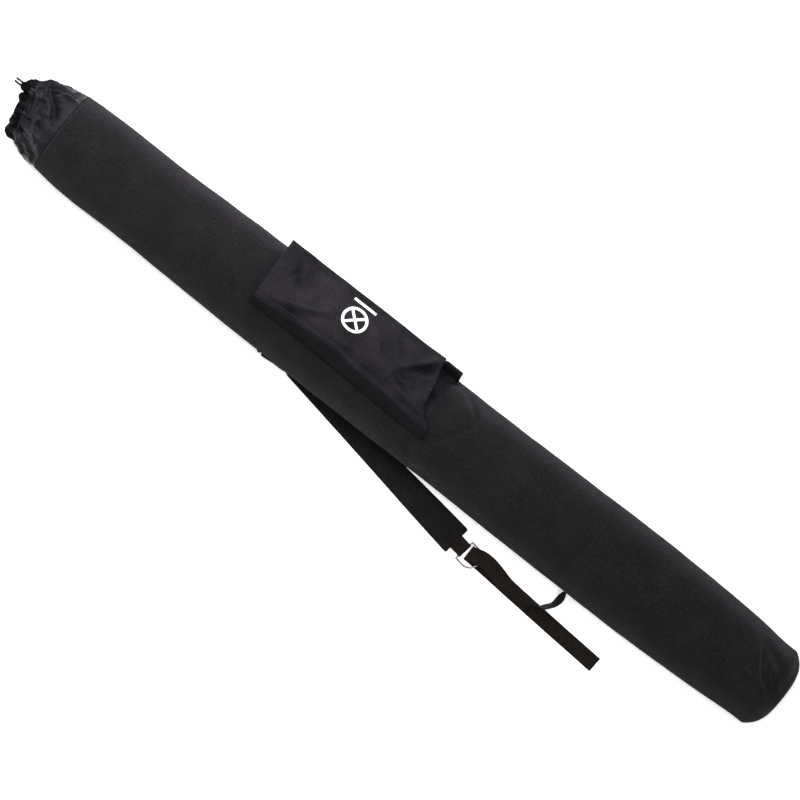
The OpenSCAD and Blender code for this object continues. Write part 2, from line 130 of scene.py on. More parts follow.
def relief(folds, x, y):
    """Height of all folds at (x, y): each is (path in plan, height, width), fading out at its ends."""
    total = np.zeros(np.shape(x))
    for path, height, width in folds:
        far, share = distance_to(path, x, y)
        fade = np.sin(np.pi * np.clip(share, 0.02, 0.98)) ** 0.5
        total += height * fade * np.exp(-((far / width) ** 2))
    return total


def stations(stops):
    """Places along a line: stops are (start, step) pairs and the last is (end, None)."""
    made = []
    for (start, step), (end, _) in zip(stops[:-1], stops[1:]):
        count = max(1, round((end - start) / step))
        made += list(np.linspace(start, end, count, endpoint=False))
    return np.array(made + [stops[-1][0]])


def finish_mesh(name, vertices, faces, uvs=None):
    """Smooth-shaded object from millimetre vertices; uvs has one pair for each face corner."""
    mesh = bpy.data.meshes.new(name)
    mesh.from_pydata((np.asarray(vertices) * MM).tolist(), [], [list(map(int, f)) for f in faces])
    if uvs is not None:
        layer = mesh.uv_layers.new(name="cloth")
        layer.data.foreach_set("uv", (np.asarray(uvs, float) * MM).ravel())
    mesh.validate()
    mesh.polygons.foreach_set("use_smooth", [True] * len(mesh.polygons))
    mesh.update()
    made = bpy.data.objects.new(name, mesh)
    bpy.context.scene.collection.objects.link(made)
    return made


def grid_mesh(name, grid, closed=False):
    """Object from an (rows, columns, 3) grid of points; closed joins the last column to the first.
    Its UVs are lengths along the cloth."""
    grid = np.asarray(grid, float)
    rows, cols = grid.shape[:2]
    wide = np.concatenate([grid, grid[:, :1]], axis=1) if closed else grid
    along = np.zeros(wide.shape[:2])
    along[1:] = np.cumsum(np.linalg.norm(np.diff(wide, axis=0), axis=2), axis=0)
    across = np.zeros(wide.shape[:2])
    across[:, 1:] = np.cumsum(np.linalg.norm(np.diff(wide, axis=1), axis=2), axis=1)
    along = np.broadcast_to(along.mean(1, keepdims=True), along.shape)
    across = np.broadcast_to(across.mean(0, keepdims=True), across.shape)
    i, j = lattice(np.arange(rows - 1), np.arange(wide.shape[1] - 1))
    corners = [(i, j), (i + 1, j), (i + 1, j + 1), (i, j + 1)]
    faces = np.stack([a * cols + b % cols for a, b in corners], -1).reshape(-1, 4)
    uvs = np.stack([np.stack([along[a, b], across[a, b]], -1) for a, b in corners], 2)
    return finish_mesh(name, grid.reshape(-1, 3), faces, uvs.reshape(-1, 2))


def thicken(piece, thickness, offset=-1.0):
    """Gives a surface a real thickness, in millimetres, and keeps the result in its mesh."""
    solid = piece.modifiers.new("thickness", "SOLIDIFY")
    solid.thickness = thickness * MM
    solid.offset = offset
    solid.use_even_offset = False
    return settle(piece)


def settle(piece):
    """Applies a piece's modifiers to its mesh."""
    graph = bpy.context.evaluated_depsgraph_get()
    graph.update()
    mesh = bpy.data.meshes.new_from_object(piece.evaluated_get(graph))
    piece.modifiers.clear()
    old = piece.data
    piece.data = mesh
    bpy.data.meshes.remove(old)
    return piece


def rework(piece, change):
    """Changes a piece's mesh through its bmesh."""
    work = bmesh.new()
    work.from_mesh(piece.data)
    work.verts.ensure_lookup_table()
    change(work)
    work.to_mesh(piece.data)
    work.free()
    return piece


def outward(piece):
    """Turns all faces of a closed piece to face out."""
    return rework(piece, lambda work: bmesh.ops.recalc_face_normals(work, faces=work.faces))


def merge(piece, distance=0.00001):
    """Joins corners that lie in the same place."""
    return rework(piece, lambda work: bmesh.ops.remove_doubles(work, verts=work.verts, dist=distance))


def capped(name, grid):
    """A closed form from a grid whose last column joins the first, with a face over each end."""
    rows, cols = np.shape(grid)[:2]

    def close(work):
        """Adds the first and the last face."""
        for first in (0, (rows - 1) * cols):
            work.faces.new([work.verts[first + k] for k in range(cols)])

    return rework(grid_mesh(name, grid, closed=True), close)


def join(name, pieces):
    """One object from several."""
    with bpy.context.temp_override(
        active_object=pieces[0], object=pieces[0], selected_objects=pieces, selected_editable_objects=pieces
    ):
        bpy.ops.object.join()
    pieces[0].name = name
    return pieces[0]


def dress(piece, material, body, slot, *nodes):
    """Gives a piece its material, body and the CAD nodes that it stands for. Its slot is not used."""
    piece.data.materials.clear()
    piece.data.materials.append(material)
    if body:
        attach(piece, body)
    if nodes:
        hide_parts(*nodes)
    return piece


def second_cloth(piece, material, chosen):
    """Gives some faces of a thickened grid a second cloth: one flag for each face of the grid."""
    piece.data.materials.append(material)
    index = np.zeros(len(piece.data.polygons), dtype=np.int32)
    index[:2 * len(chosen)] = np.tile(chosen, 2)
    piece.data.polygons.foreach_set("material_index", index)
    piece.data.update()


# ---- Materials -----------------------------------------------------------------------------------


def two_tone(node, low, high, low_at, high_at):
    """Sets both ends of a colour ramp."""
    for end, tone, place in zip(node.color_ramp.elements, (low, high), (low_at, high_at)):
        end.position = place
        end.color = (*tone, 1)


class Nodes:
    """A material's shader, with short ways to feed it from the piece's own coordinates."""

    def __init__(self, name):
        self.material = bpy.data.materials.new(name)
        self.material.use_nodes = True
        self.tree = self.material.node_tree
        self.tree.nodes.clear()
        self.shader = self.add("ShaderNodeBsdfPrincipled")
        self.link(self.shader.outputs[0], self.add("ShaderNodeOutputMaterial").inputs[0])
        self.where = self.add("ShaderNodeTexCoord").outputs["Object"]

    def add(self, kind, **values):
        """A new node, with some of its settings."""
        node = self.tree.nodes.new(kind)
        for key, value in values.items():
            setattr(node, key, value)
        return node

    def link(self, source, target):
        """Links two sockets."""
        self.tree.links.new(source, target)

    def feed(self, name, socket):
        """Links a socket to one of the shader's inputs, in place of any link it has."""
        self.link(socket, self.shader.inputs[name])

    def set(self, **values):
        """Sets inputs of the shader by their names."""
        for key, value in values.items():
            self.shader.inputs[key.replace("_", " ")].default_value = value

    def math(self, operation, *values):
        """One step of arithmetic on sockets or numbers."""
        node = self.add("ShaderNodeMath", operation=operation)
        for socket, value in zip(node.inputs, values):
            if isinstance(value, (int, float)):
                socket.default_value = value
            else:
                self.link(value, socket)
        return node.outputs[0]

    def total(self, *parts):
        """Sum of (value, share) pairs."""
        terms = [self.math("MULTIPLY", value, share) for value, share in parts]
        result = terms[0]
        for term in terms[1:]:
            result = self.math("ADD", result, term)
        return result

    def wave(self, value, rate):
        """Rounded ridges, 0 to 1."""
        return self.math("ABSOLUTE", self.math("SINE", self.math("MULTIPLY", value, rate)))

    def texture(self, kind, output, **values):
        """A texture laid out in space, and one of its outputs."""
        node = self.add(kind)
        for key, value in values.items():
            node.inputs[key].default_value = value
        self.link(self.where, node.inputs["Vector"])
        return node.outputs[output]

    def noise(self, scale, detail=2.0, rough=0.5):
        """Soft noise, 0 to 1."""
        return self.texture("ShaderNodeTexNoise", "Fac", Scale=scale, Detail=detail, Roughness=rough)

    def cells(self, scale):
        """Distance from the middle of each small cell."""
        return self.texture("ShaderNodeTexVoronoi", "Distance", Scale=scale)

    def colour(self, value, low, high, low_at=0.3, high_at=0.7):
        """Colours the shader between two tones, by a value."""
        node = self.add("ShaderNodeValToRGB")
        two_tone(node, low, high, low_at, high_at)
        self.link(value, node.inputs[0])
        self.feed("Base Color", node.outputs[0])

    def roughness(self, value, low, high):
        """Sets the shader's roughness between two levels, by a value."""
        node = self.add("ShaderNodeMapRange")
        self.link(value, node.inputs["Value"])
        node.inputs["To Min"].default_value = low
        node.inputs["To Max"].default_value = high
        self.feed("Roughness", node.outputs[0])

    def bump(self, height, depth, strength=1.0, over=None):
        """Gives the shader a relief, on top of an earlier one where there is one."""
        node = self.add("ShaderNodeBump")
        node.inputs["Strength"].default_value = strength
        node.inputs["Distance"].default_value = depth
        self.link(height, node.inputs["Height"])
        if over is not None:
            self.link(over, node.inputs["Normal"])
        self.feed("Normal", node.outputs[0])
        return node.outputs[0]


def shade(colour, by):
    """A colour made lighter or darker."""
    return tuple(min(1.0, c * by) for c in colour)


def cloth_place(n):
    """Lengths along the cloth from its UVs, as two sockets."""
    uv = n.add("ShaderNodeUVMap", uv_map="cloth")
    parts = n.add("ShaderNodeSeparateXYZ")
    n.link(uv.outputs[0], parts.inputs[0])
    return parts.outputs[0], parts.outputs[1]


def woven(n, pitch, twill):
    """Height of a weave and where the warp is over, both 0 to 1: plain, or a two-over-two twill."""
    x, y = (n.math("MULTIPLY", length, 1 / pitch) for length in cloth_place(n))
    place = n.math("ADD", n.math("FLOOR", x), n.math("FLOOR", y))
    turns = 4 if twill else 2
    over = n.math("LESS_THAN", n.math("FLOORED_MODULO", place, turns), turns / 2)
    under = n.math("SUBTRACT", 1.0, over)
    return n.total((n.wave(x, math.pi), over), (n.wave(y, math.pi), under)), over


def cloth(name, colour, pitch=0.0007, twill=False, rough=0.8, sheen=0.3, sheen_rough=0.4,
          specular=0.3, mottle_and_sheen=0.25, bump=0.6, crinkle=0.0, speck=0.3, tint=0.22):
    """Woven cloth: weave bump, fine speckle in its colour, soft mottling and, on thin cloth, crinkles. Strong
    mottling stands in for a glossy cloth's sheen streaks: painted sheen.
    """
    n = Nodes(name)
    weave, over = woven(n, pitch, twill)
    fine = n.noise(430, 3, 0.7)
    floats = n.total((weave, 0.45), (over, 0.55))
    # The large soft noise is random tone in the colour; where its weight is strong, as on the smooth nylon,
    # it is painted sheen.
    mixed = n.total((n.noise(22, 3, 0.55), mottle_and_sheen), (fine, speck), (floats, tint))
    middle, half_range = 0.5 * (mottle_and_sheen + speck) + 0.55 * tint, 0.22
    n.colour(mixed, shade(colour, 0.2), shade(colour, 1.9), middle - half_range, middle + half_range)
    n.roughness(fine, rough - 0.1, min(1.0, rough + 0.1))
    relief_so_far = n.bump(n.noise(95, 4, 0.6), 0.0004 + crinkle * 0.002, 0.15 + 0.6 * crinkle)
    if crinkle:
        relief_so_far = n.bump(n.noise(260, 5, 0.65), 0.0008, 0.5 * crinkle, relief_so_far)
    n.bump(weave, 0.0004, bump, relief_so_far)
    n.set(Sheen_Weight=sheen, Sheen_Roughness=sheen_rough, Specular_IOR_Level=specular,
          Specular_Tint=(1.0, 0.9, 1.0, 1), Sheen_Tint=(*shade(colour, 6 / max(colour) / 8), 1))
    return n.material


def ribbed(name, colour, rib=0.0021, rough=0.62):
    """Webbing: raised ribs along its length with a fine zigzag weave across them."""
    n = Nodes(name)
    along, across = cloth_place(n)
    slant = n.math("ADD", along, n.math("MULTIPLY", n.math("PINGPONG", across, rib), 0.6))
    height = n.total((n.wave(across, math.pi / rib), 0.5), (n.wave(slant, math.pi / 0.0026), 0.5))
    worn = n.total((height, 0.45), (n.noise(330, 3), 0.65))
    n.colour(worn, shade(colour, 0.1), shade(colour, 2.6), 0.4, 0.75)
    n.bump(height, 0.0005, 0.8, n.bump(n.noise(120, 3), 0.0006, 0.4))
    n.set(Roughness=rough, Sheen_Weight=0.01, Specular_IOR_Level=0.02)
    return n.material


def braid(name, colour):
    """Braided cord: crossing diagonal strands, laid out in space so that it needs no UVs."""
    n = Nodes(name)
    strands = n.cells(900)
    n.colour(strands, shade(colour, 1.8), shade(colour, 0.5), 0.1, 0.7)
    n.bump(strands, 0.0004, -0.7)
    n.set(Roughness=0.7, Sheen_Weight=0.04, Specular_IOR_Level=0.08)
    return n.material


def pile(name, colour):
    """Hook and loop tape: dense short fuzz."""
    n = Nodes(name)
    fuzz = n.noise(1400, 4, 0.7)
    n.colour(fuzz, shade(colour, 0.4), shade(colour, 2.2), 0.35, 0.7)
    n.bump(fuzz, 0.0008, 0.9)
    n.set(Roughness=0.9, Sheen_Weight=0.06, Specular_IOR_Level=0.05)
    return n.material


def foam(name):
    """Cut foam: open cells."""
    n = Nodes(name)
    cells = n.cells(700)
    n.colour(cells, (0.1, 0.1, 0.1), (0.26, 0.26, 0.25))
    n.bump(cells, 0.0005, 0.6)
    n.set(Roughness=0.95, Specular_IOR_Level=0.2)
    return n.material


def plated(name, colour):
    """Nickel-plated wire with faint drawing marks and wear."""
    n = Nodes(name)
    worn = n.noise(240, 5, 0.6)
    n.colour(worn, shade(colour, 0.8), colour, 0.35, 0.6)
    n.roughness(worn, 0.12, 0.34)
    n.bump(worn, 0.0001, 0.3)
    n.set(Metallic=1.0)
    return n.material


def moulded(name, colour):
    """Moulded nylon with a fine spark grain."""
    n = Nodes(name)
    n.colour(n.noise(120, 3), shade(colour, 0.8), shade(colour, 1.25))
    n.bump(n.noise(2600, 2, 0.5), 0.0001, 0.5)
    n.set(Roughness=0.5, Specular_IOR_Level=0.01)
    return n.material


def ink(name):
    """White screen print: thin ink that shows a little of the weave and has small pinholes."""
    n = Nodes(name)
    n.colour(n.noise(900, 4, 0.7), (0.68, 0.68, 0.68), (0.9, 0.9, 0.9), 0.28, 0.42)
    n.bump(n.noise(1500, 2), 0.0001, 0.5)
    n.set(Roughness=0.6, Specular_IOR_Level=0.3)
    return n.material


def floor_paper():
    """Plain pale studio floor, with a little light of its own."""
    n = Nodes("studio_floor")
    n.colour(n.noise(3, 2), (0.9, 0.9, 0.9), (0.93, 0.93, 0.93))
    n.set(Roughness=0.9, Specular_IOR_Level=0.1, Emission_Strength=0.4, Emission_Color=(1, 1, 1, 1))
    return n.material


charcoal_cloth = cloth("oxford_charcoal", (0.009, 0.0083, 0.0094), 0.0009, twill=True, rough=0.85,
                       sheen=0.11, sheen_rough=0.3, specular=0.02, mottle_and_sheen=0.2, speck=0.8, bump=0.9, tint=0.17)
neck_cloth = cloth("crinkled_nylon", (0.0056, 0.0053, 0.0065), 0.0004, rough=0.32, sheen=0.01,
                   specular=0.08, mottle_and_sheen=0.3, bump=0.3, crinkle=1.0, speck=0.2)
# The hem's cloth is a darker copy of the crinkled nylon: painted shade for the hem at the mouth, which turns
# away from the light.
hem_shade_cloth = cloth("neck_hem_painted_shade", (0.0022, 0.0021, 0.0025), 0.0004, rough=0.4, sheen=0.0, specular=0.03,
                  mottle_and_sheen=0.3, bump=0.3, crinkle=0.8, speck=0.3)
# The smooth nylon's strong mottling is partly painted sheen: broad lighter and darker patches in its colour
# stand in for the streaks of its gloss.
pocket_cloth = cloth("smooth_nylon", (0.0058, 0.0052, 0.0065), 0.0009, rough=0.27, sheen=0.0,
                     specular=0.055, mottle_and_sheen=0.85, bump=0.4, crinkle=0.16, speck=0.5, tint=0.2)
gusset_cloth = cloth("gusset_oxford", (0.0076, 0.0070, 0.0081), 0.0011, rough=0.7, sheen=0.0, specular=0.01,
                     mottle_and_sheen=0.2, bump=0.8, speck=0.6, tint=0.3)
pad_cloth = cloth("pad_black", (0.0072, 0.0067, 0.0069), 0.0012, twill=True, rough=0.88, sheen=0.03,
                  specular=0.03, mottle_and_sheen=0.25, speck=0.6, tint=0.35)
seam_dark = cloth("seam_shadow", (0.0012, 0.0011, 0.0012), 0.0008, rough=0.95, sheen=0.0, specular=0.0)
lining_cloth = cloth("lining_nylon", (0.014, 0.014, 0.016), 0.0004, rough=0.5, specular=0.2, bump=0.3)
webbing = ribbed("webbing_brown_black", (0.0052, 0.0039, 0.0033))
binding = ribbed("binding_black", (0.0045, 0.0042, 0.0044), rib=0.0014)
thread = braid("sewing_thread", (0.0045, 0.0043, 0.0048))
cord_braid = braid("cord_braid", (0.024, 0.0235, 0.024))
fuzzy = pile("touch_fastener", (0.008, 0.008, 0.008))
foam_grey = foam("foam_grey")
wire_plate = plated("nickel_wire", (0.13, 0.13, 0.134))
spring_wire = plated("spring_wire", (0.6, 0.6, 0.6))
lock_nylon = moulded("lock_nylon", (0.0016, 0.0016, 0.0016))
print_ink = ink("print_white")


# ---- Camera, floor and light ---------------------------------------------------------------------

view_turn = math.radians(38)
view_centre = (0.00975, -0.003, tube_mid_z * MM)
view_width = 1.2
lens = 180


def make_camera():
    """Straight above, turned so that the bag runs from the upper left to the lower right."""
    data = bpy.data.cameras.new("camera")
    data.lens = lens
    data.sensor_width = 36
    camera = bpy.data.objects.new("camera", data)
    far = view_width * lens / data.sensor_width
    camera.location = (view_centre[0], view_centre[1], view_centre[2] + far)
    camera.rotation_euler = (0, 0, view_turn)
    data.clip_end = 100
    bpy.context.scene.collection.objects.link(camera)
    bpy.context.scene.camera = camera


def area_light(name, place, target, size, watts, tall=None, spread=180):
    """A rectangular light at a place, aimed at a target; sizes in metres."""
    data = bpy.data.lights.new(name, "AREA")
    data.shape = "RECTANGLE"
    data.size = size
    data.size_y = tall or size
    data.energy = watts
    data.spread = math.radians(spread)
    light = bpy.data.objects.new(name, data)
    light.location = place
    aim = Vector(target) - Vector(place)
    light.rotation_euler = aim.to_track_quat("-Z", "Y").to_euler()
    bpy.context.scene.collection.objects.link(light)


def make_world():
    """White surroundings at the neck and the far side, dimmer overhead and on the strap's side."""
    world = bpy.data.worlds.new("studio")
    world.use_nodes = True
    tree = world.node_tree
    back = tree.nodes["Background"]
    where = tree.nodes.new("ShaderNodeTexCoord")
    facing = tree.nodes.new("ShaderNodeVectorMath")
    facing.operation = "DOT_PRODUCT"
    facing.inputs[1].default_value = (-0.45, 0.75, -0.5)
    ramp = tree.nodes.new("ShaderNodeValToRGB")
    two_tone(ramp, (0.16, 0.16, 0.165), (1, 1, 1), 0.0, 0.75)
    tree.links.new(where.outputs["Generated"], facing.inputs[0])
    tree.links.new(facing.outputs["Value"], ramp.inputs[0])
    tree.links.new(ramp.outputs[0], back.inputs[0])
    back.inputs[1].default_value = 0.5
    bpy.context.scene.world = world


def make_stage():
    """The floor, the lights and the plain view transform."""
    edge = 9000
    corners = [[(x, y, 0) for y in (-edge, edge)] for x in (-edge, edge)]
    floor = grid_mesh("floor", corners)
    floor.data.flip_normals()
    floor.data.materials.append(floor_paper())
    area_light("far_side", (-0.95, 1.1, 1.3), (-0.5, 0, 0.05), 1.1, 14, 0.8, spread=90)
    area_light("neck_side", (-1.1, 0.55, 1.9), (-0.35, 0, 0.05), 1.1, 47)
    area_light("near_side", (-1.3, -1.6, 0.7), (-0.5, 0, 0.05), 1.2, 12, 0.7)
    area_light("overhead", (0.5, 0.05, 2.2), (0.5, 0, 0), 1.3, 44)
    make_world()
    bpy.context.scene.view_settings.view_transform = "Standard"


make_camera()
make_stage()


# ---- The drawcord's two free tails ---------------------------------------------------------------

tail_route = [
    (-0.705, 0.054), (-0.7055, 0.059), (-0.707, 0.064), (-0.7095, 0.0676),
    (-0.7125, 0.0693), (-0.716, 0.0695), (-0.722, 0.0695), (-0.728, 0.0695),
    (-0.733, 0.0695), (-0.736, 0.0693), (-0.7385, 0.0689),
]
cord_d = 0.004
tail_places = {"cord_tail_a": 0.019, "cord_tail_b": 0.024}


def cord_tail(node, side):
    """One free end of the drawcord, with a capped tip."""
    points = [(x, side, z) for x, z in tail_route]
    data = bpy.data.curves.new(node + "_cord", "CURVE")
    data.dimensions = "3D"
    data.bevel_depth = cord_d / 2
    data.bevel_resolution = 6
    data.use_fill_caps = True
    line = data.splines.new("POLY")
    line.points.add(len(points) - 1)
    for point, place in zip(line.points, points):
        point.co = (*place, 1)
    piece = bpy.data.objects.new(node + "_cord", data)
    bpy.context.scene.collection.objects.link(piece)
    data.materials.append(cord_braid)
    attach(piece, "bag")
    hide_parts(node)


for tail_node, tail_side in tail_places.items():
    cord_tail(tail_node, tail_side)


# ---- Tube ----------------------------------------------------------------------------------------

# Half width of the tube on the pocket's side and on the strap's side, along the bag to its wide end
wide_end = 690
far_width = [(seam_x, 69), (-600, 70.5), (-467, 71), (-287, 75), (95, 74.5), (570, 74.5), (640, 71),
             (wide_end, 66)]
near_width = [(seam_x, 66), (-600, 70), (-467, 71), (-287, 75), (95, 75.5), (570, 75.5), (640, 72.5),
              (wide_end, 69)]
base_round_plan = 46
base_round_side = 30

# Folds of the tube's cloth, seen from above: path, height and width of each
tube_folds = [
    # the rounded swelling beyond the pocket's end, and the crease round it
    ([(80, 54), (92, 40), (94, 24), (84, 2), (74, -12)], 4.2, 17),
    ([(64, 69), (85, 65), (103, 57), (115, 44), (119, 31), (113, 18), (104, 5), (97, -9), (88, -23),
      (70, -40)], -2.6, 5),
    ([(118, 56), (130, 40), (130, 24), (120, 6)], 1.4, 9),
    # soft pulls on the strap's side
    ([(58, -38), (66, -52), (72, -66)], -2.4, 7),
    ([(372, -18), (360, -40), (351, -64)], -2.0, 8),
    ([(398, -30), (386, -52), (380, -68)], 1.6, 9),
    # the double crease at the base
    ([(666, 36), (676, 23), (685, 9), (695, 0), (711, -9), (730, -17)], -9.0, 4.0),
    ([(686, 24), (692, 15), (700, 6), (708, 0), (726, -14)], -4.5, 3.0),
    ([(672, 12), (684, -2), (698, -12), (712, -20)], 3.6, 7),
    ([(655, 52), (672, 44), (690, 34), (706, 28)], -3.4, 9),
    ([(676, 40), (690, 26), (704, 14), (720, 4)], 2.4, 6),
    # the pull of the pocket's lower seam
    ([(-262, -28), (-100, -30), (70, -34)], -0.9, 5),
]
# Hollows in the layers under the deep creases
under_folds = [([(660, 44), (685, 14), (700, 0), (735, -18)], -11, 17)]
# The plan starts to round off only where the corner has taken this much of the half width
plan_slack = 5.5


def rounding(reach, radius):
    """How much a half width loses at this distance before the end, on a corner of this radius."""
    back = np.clip(radius - reach, 0, radius)
    return radius - np.sqrt(np.maximum(radius**2 - back**2, 0))


def tube_surface(x, a, inset=0.0):
    """Points of the tube's surface at places x and angles a (0 is the pocket's side, 90 the top)."""
    c, s = np.cos(a), np.sin(a)
    reach = base_x - inset - x
    near_end = np.minimum(x, wide_end)
    half = np.where(c > 0, through(far_width, near_end), through(near_width, near_end))
    half = half - inset - np.maximum(rounding(reach, base_round_plan) - plan_slack, 0)
    tall = tube_half_h - inset - rounding(reach, base_round_side)
    return half * c, tube_mid_z + tall * s, half, tall


def tube_skin(x, a, inset=0.0, folds=True, lift=0.0):
    """Points on the tube's finished cloth or, without its folds, on a layer inset in it."""
    y, z, half, tall = tube_surface(x, a, inset)
    normal = np.stack([np.zeros_like(a), np.cos(a) / half, np.sin(a) / tall], -1)
    normal /= np.linalg.norm(normal, axis=-1, keepdims=True)
    grid = np.stack([x, y, z], -1)
    sag = 1.5 * ripple(grid * (0.4, 1, 1), 90, 3.1) + 0.55 * ripple(grid, 34, 7.7) * bool(folds)
    rise = sag * smooth(seam_x, seam_x + 25, x)
    rise = rise + relief(tube_folds if folds else under_folds, x, y) * smooth(-0.1, 0.5, np.sin(a)) + lift
    return grid + normal * rise[..., None]


def tube_points(places, columns, inset=0.0, folds=True):
    """Grid of the tube's cloth, drawn in by inset, kept above the floor."""
    x, a = lattice(places, np.linspace(0, full_turn, columns, endpoint=False))
    grid = tube_skin(x, a, inset, folds)
    grid[..., 2] = np.maximum(grid[..., 2], inset)
    return grid


def tube_at(x, a, lift=0.0):
    """Points on the tube's finished cloth, for what is sewn on it."""
    return tube_skin(*np.broadcast_arrays(np.asarray(x, float), np.asarray(a, float)), lift=lift)


def tube_layer(name, places, columns, depths, material, slot, node, folds=False):
    """One layer of the tube's wall, as a closed solid between two depths."""
    outer, inner = (tube_points(places, columns, depth, folds) for depth in depths)
    piece = grid_mesh(name, np.concatenate([outer, inner[::-1], outer[:1]], axis=0), closed=True)
    return dress(outward(merge(piece)), material, "bag", slot, node)


shell_end = cap_x - 1
fine_places = stations([(seam_x, 2.5), (-590, 6), (-280, 4), (40, 2.2), (135, 6), (640, 1.6),
                        (shell_end, None)])
rough_places = stations([(seam_x, 12), (shell_end, None)])

tube_cover = tube_layer("tube_cover", fine_places, 144, (0.0, 1.3), charcoal_cloth, "body_fabric",
                        "outer_shell", folds=True)
tube_layer("tube_foam", rough_places, 72, (2.6, 7.2), foam_grey, "foam", "foam_padding")
tube_layer("tube_lining", rough_places, 72, (7.6, 8.4), lining_cloth, "lining", "inner_lining")


# ---- Base ----------------------------------------------------------------------------------------


def base_dome(name, inset, thickness, columns, material, slot, node):
    """A layer of the base: a shallow dish from the seam with the tube round to its flat end."""
    bulge = 0.9
    shares = np.concatenate([np.linspace(0, 0.9, 14), np.linspace(0.93, 1, 6)])
    places = shell_end + (base_x - inset - shell_end) * np.sin(shares * np.pi / 2)
    rows = list(tube_points(places, columns, inset, inset == 0))
    rim = rows[-1]
    middle = rim.mean(0)
    for shrink in (0.92, 0.8, 0.62, 0.42, 0.22, 0.07, 0.008):
        ring = middle + (rim - middle) * shrink
        ring[:, 0] += bulge * (1 - shrink**2)
        rows.append(ring)
    grid = np.array(rows)
    inner_share = smooth(0.35, 0.9, np.arange(len(grid)) / len(rows))[:, None]
    grid[..., 0] += 0.7 * ripple(grid, 26, 5.5) * inner_share
    grid[..., 0] = np.minimum(grid[..., 0], base_x + 0.8)
    grid[..., 2] = np.maximum(grid[..., 2], inset)
    piece = grid_mesh(name, grid, closed=True)
    if sum(face.normal.x for face in piece.data.polygons) < 0:
        piece.data.flip_normals()
    return dress(thicken(piece, thickness), material, "bag", slot, node)


base_dome("base_cover", 0.0, 1.3, 144, charcoal_cloth, "body_fabric", "base_panel")
base_dome("base_pad", 2.4, 4.5, 64, foam_grey, "foam", "base_foam")
base_dome("base_inside", 7.6, 0.8, 64, lining_cloth, "lining", "base_lining")


# ---- Neck ----------------------------------------------------------------------------------------

# The neck's half width, half height, middle and turn, by the share of the way to its mouth
neck_half_w = [(0, 67.3), (0.18, 65.4), (0.37, 61.5), (0.56, 57), (0.74, 52.5), (0.86, 49), (0.94, 45.5),
               (1, 40)]
neck_half_h = [(0, 50.3), (0.2, 47.5), (0.45, 40.5), (0.7, 33), (0.86, 29), (1, 25)]
neck_mid_y = [(0, 1.8), (0.2, 0.6), (0.45, -1), (0.75, -3.5), (1, -10)]
neck_l = 80
neck_start = seam_x + 2.5
mouth_turn = math.radians(14)
mouth_drop = 13
pleats = 13

neck_folds = [
    ([(-708, 40), (-695, 47), (-680, 49.5), (-665, 51.5), (-648, 56)], -5.0, 3.4),
    ([(-704, 51), (-690, 54), (-668, 61)], 1.6, 3.2),
    ([(-698, 42), (-676, 45.5), (-655, 47.5), (-638, 48.5)], 2.6, 2.8),
    ([(-690, 43), (-677, 34), (-666, 26), (-656, 14), (-653, 0)], -4.6, 4.6),
    ([(-698, 48), (-692, 36), (-687, 27)], 2.8, 2.6),
    ([(-710, 30), (-698, 17), (-686, 4)], 2.6, 2.8),
    ([(-703, 22), (-698, 8), (-696, -6)], -3.0, 4.2),
    ([(-706, -22), (-694, -34), (-678, -33)], -4.2, 3.6),
    ([(-684, -12), (-670, -24), (-654, -33)], 2.6, 9),
    ([(-694, -39), (-677, -50), (-660, -62)], 2.0, 3.2),
    ([(-683, -8), (-682, -24)], -1.8, 3.2),
    ([(-668, -8), (-665, -22)], -1.6, 3.2),
    ([(-672, 10), (-660, -2), (-646, -8)], 1.4, 6),
    ([(-660, -44), (-650, -52), (-640, -54)], -1.8, 6),
]


def ridged(points, scale, seed):
    """Crumpling: noise with sharp creases, from -1 to 1."""
    return 1 - 2 * np.abs(ripple(points, scale, seed)) ** 0.7


def neck_points(shares, columns, inset=0.0, detail=1.0):
    """Grid of the gathered neck from its seam (0) to its mouth (1)."""
    t, a = lattice(shares, np.linspace(0, full_turn, columns, endpoint=False))
    gather = smooth(0.1, 0.8, t)
    phase = pleats * a + 1.6 * np.sin(2 * a + 1) + 1.1 * np.sin(5 * a + 0.4)
    pleat = 2 * np.abs(np.cos(phase / 2)) - 1.2
    depth = 4.5 * gather * (0.65 + 0.35 * np.sin(3 * a + 2)) * detail
    cinch = -2.6 * np.exp(-(((t - 0.8) / 0.07) ** 2)) + 1.2 * smooth(0.9, 1, t)
    grow = depth * pleat + cinch * detail - inset
    half_w = through(neck_half_w, t) + grow
    half_h = through(neck_half_h, t) + grow
    turn = mouth_turn * smooth(0.15, 1, t)
    across = half_w * np.cos(a)
    edge = smooth(0.86, 1, t) * (1.7 * np.sin(phase) + 1.5 * np.sin(7 * a))
    x = neck_start - neck_l * t - across * np.sin(turn) - edge
    y = through(neck_mid_y, t) + across * np.cos(turn)
    z = tube_mid_z - mouth_drop * smooth(0, 1, t) + half_h * np.sin(a)
    grid = np.stack([x, y, z], -1)
    normal = np.stack([-0.25 * gather, np.cos(a) / half_w * 40, np.sin(a) / half_h * 40], -1)
    normal /= np.linalg.norm(normal, axis=-1, keepdims=True)
    top = smooth(-0.1, 0.45, np.sin(a))
    drawn = np.stack([60 * np.cos(a), 60 * np.sin(a), neck_l * 0.4 * t], -1)
    loose = smooth(0.0, 0.22, t)
    rise = 2.7 * relief(neck_folds, x, y) * top + 2.9 * ridged(drawn, 19, 2.2) * loose
    rise = rise - 3.0 * ridged(drawn, 13, 5.7) * loose * smooth(0.1, 0.6, t)
    rise = rise + 1.2 * ridged(grid, 11, 9.4) * loose + 0.8 * ripple(grid, 24, 1.3) * loose
    grid = grid + normal * (rise * detail)[..., None]
    grid[..., 2] = np.maximum(grid[..., 2], 0.6)
    return grid


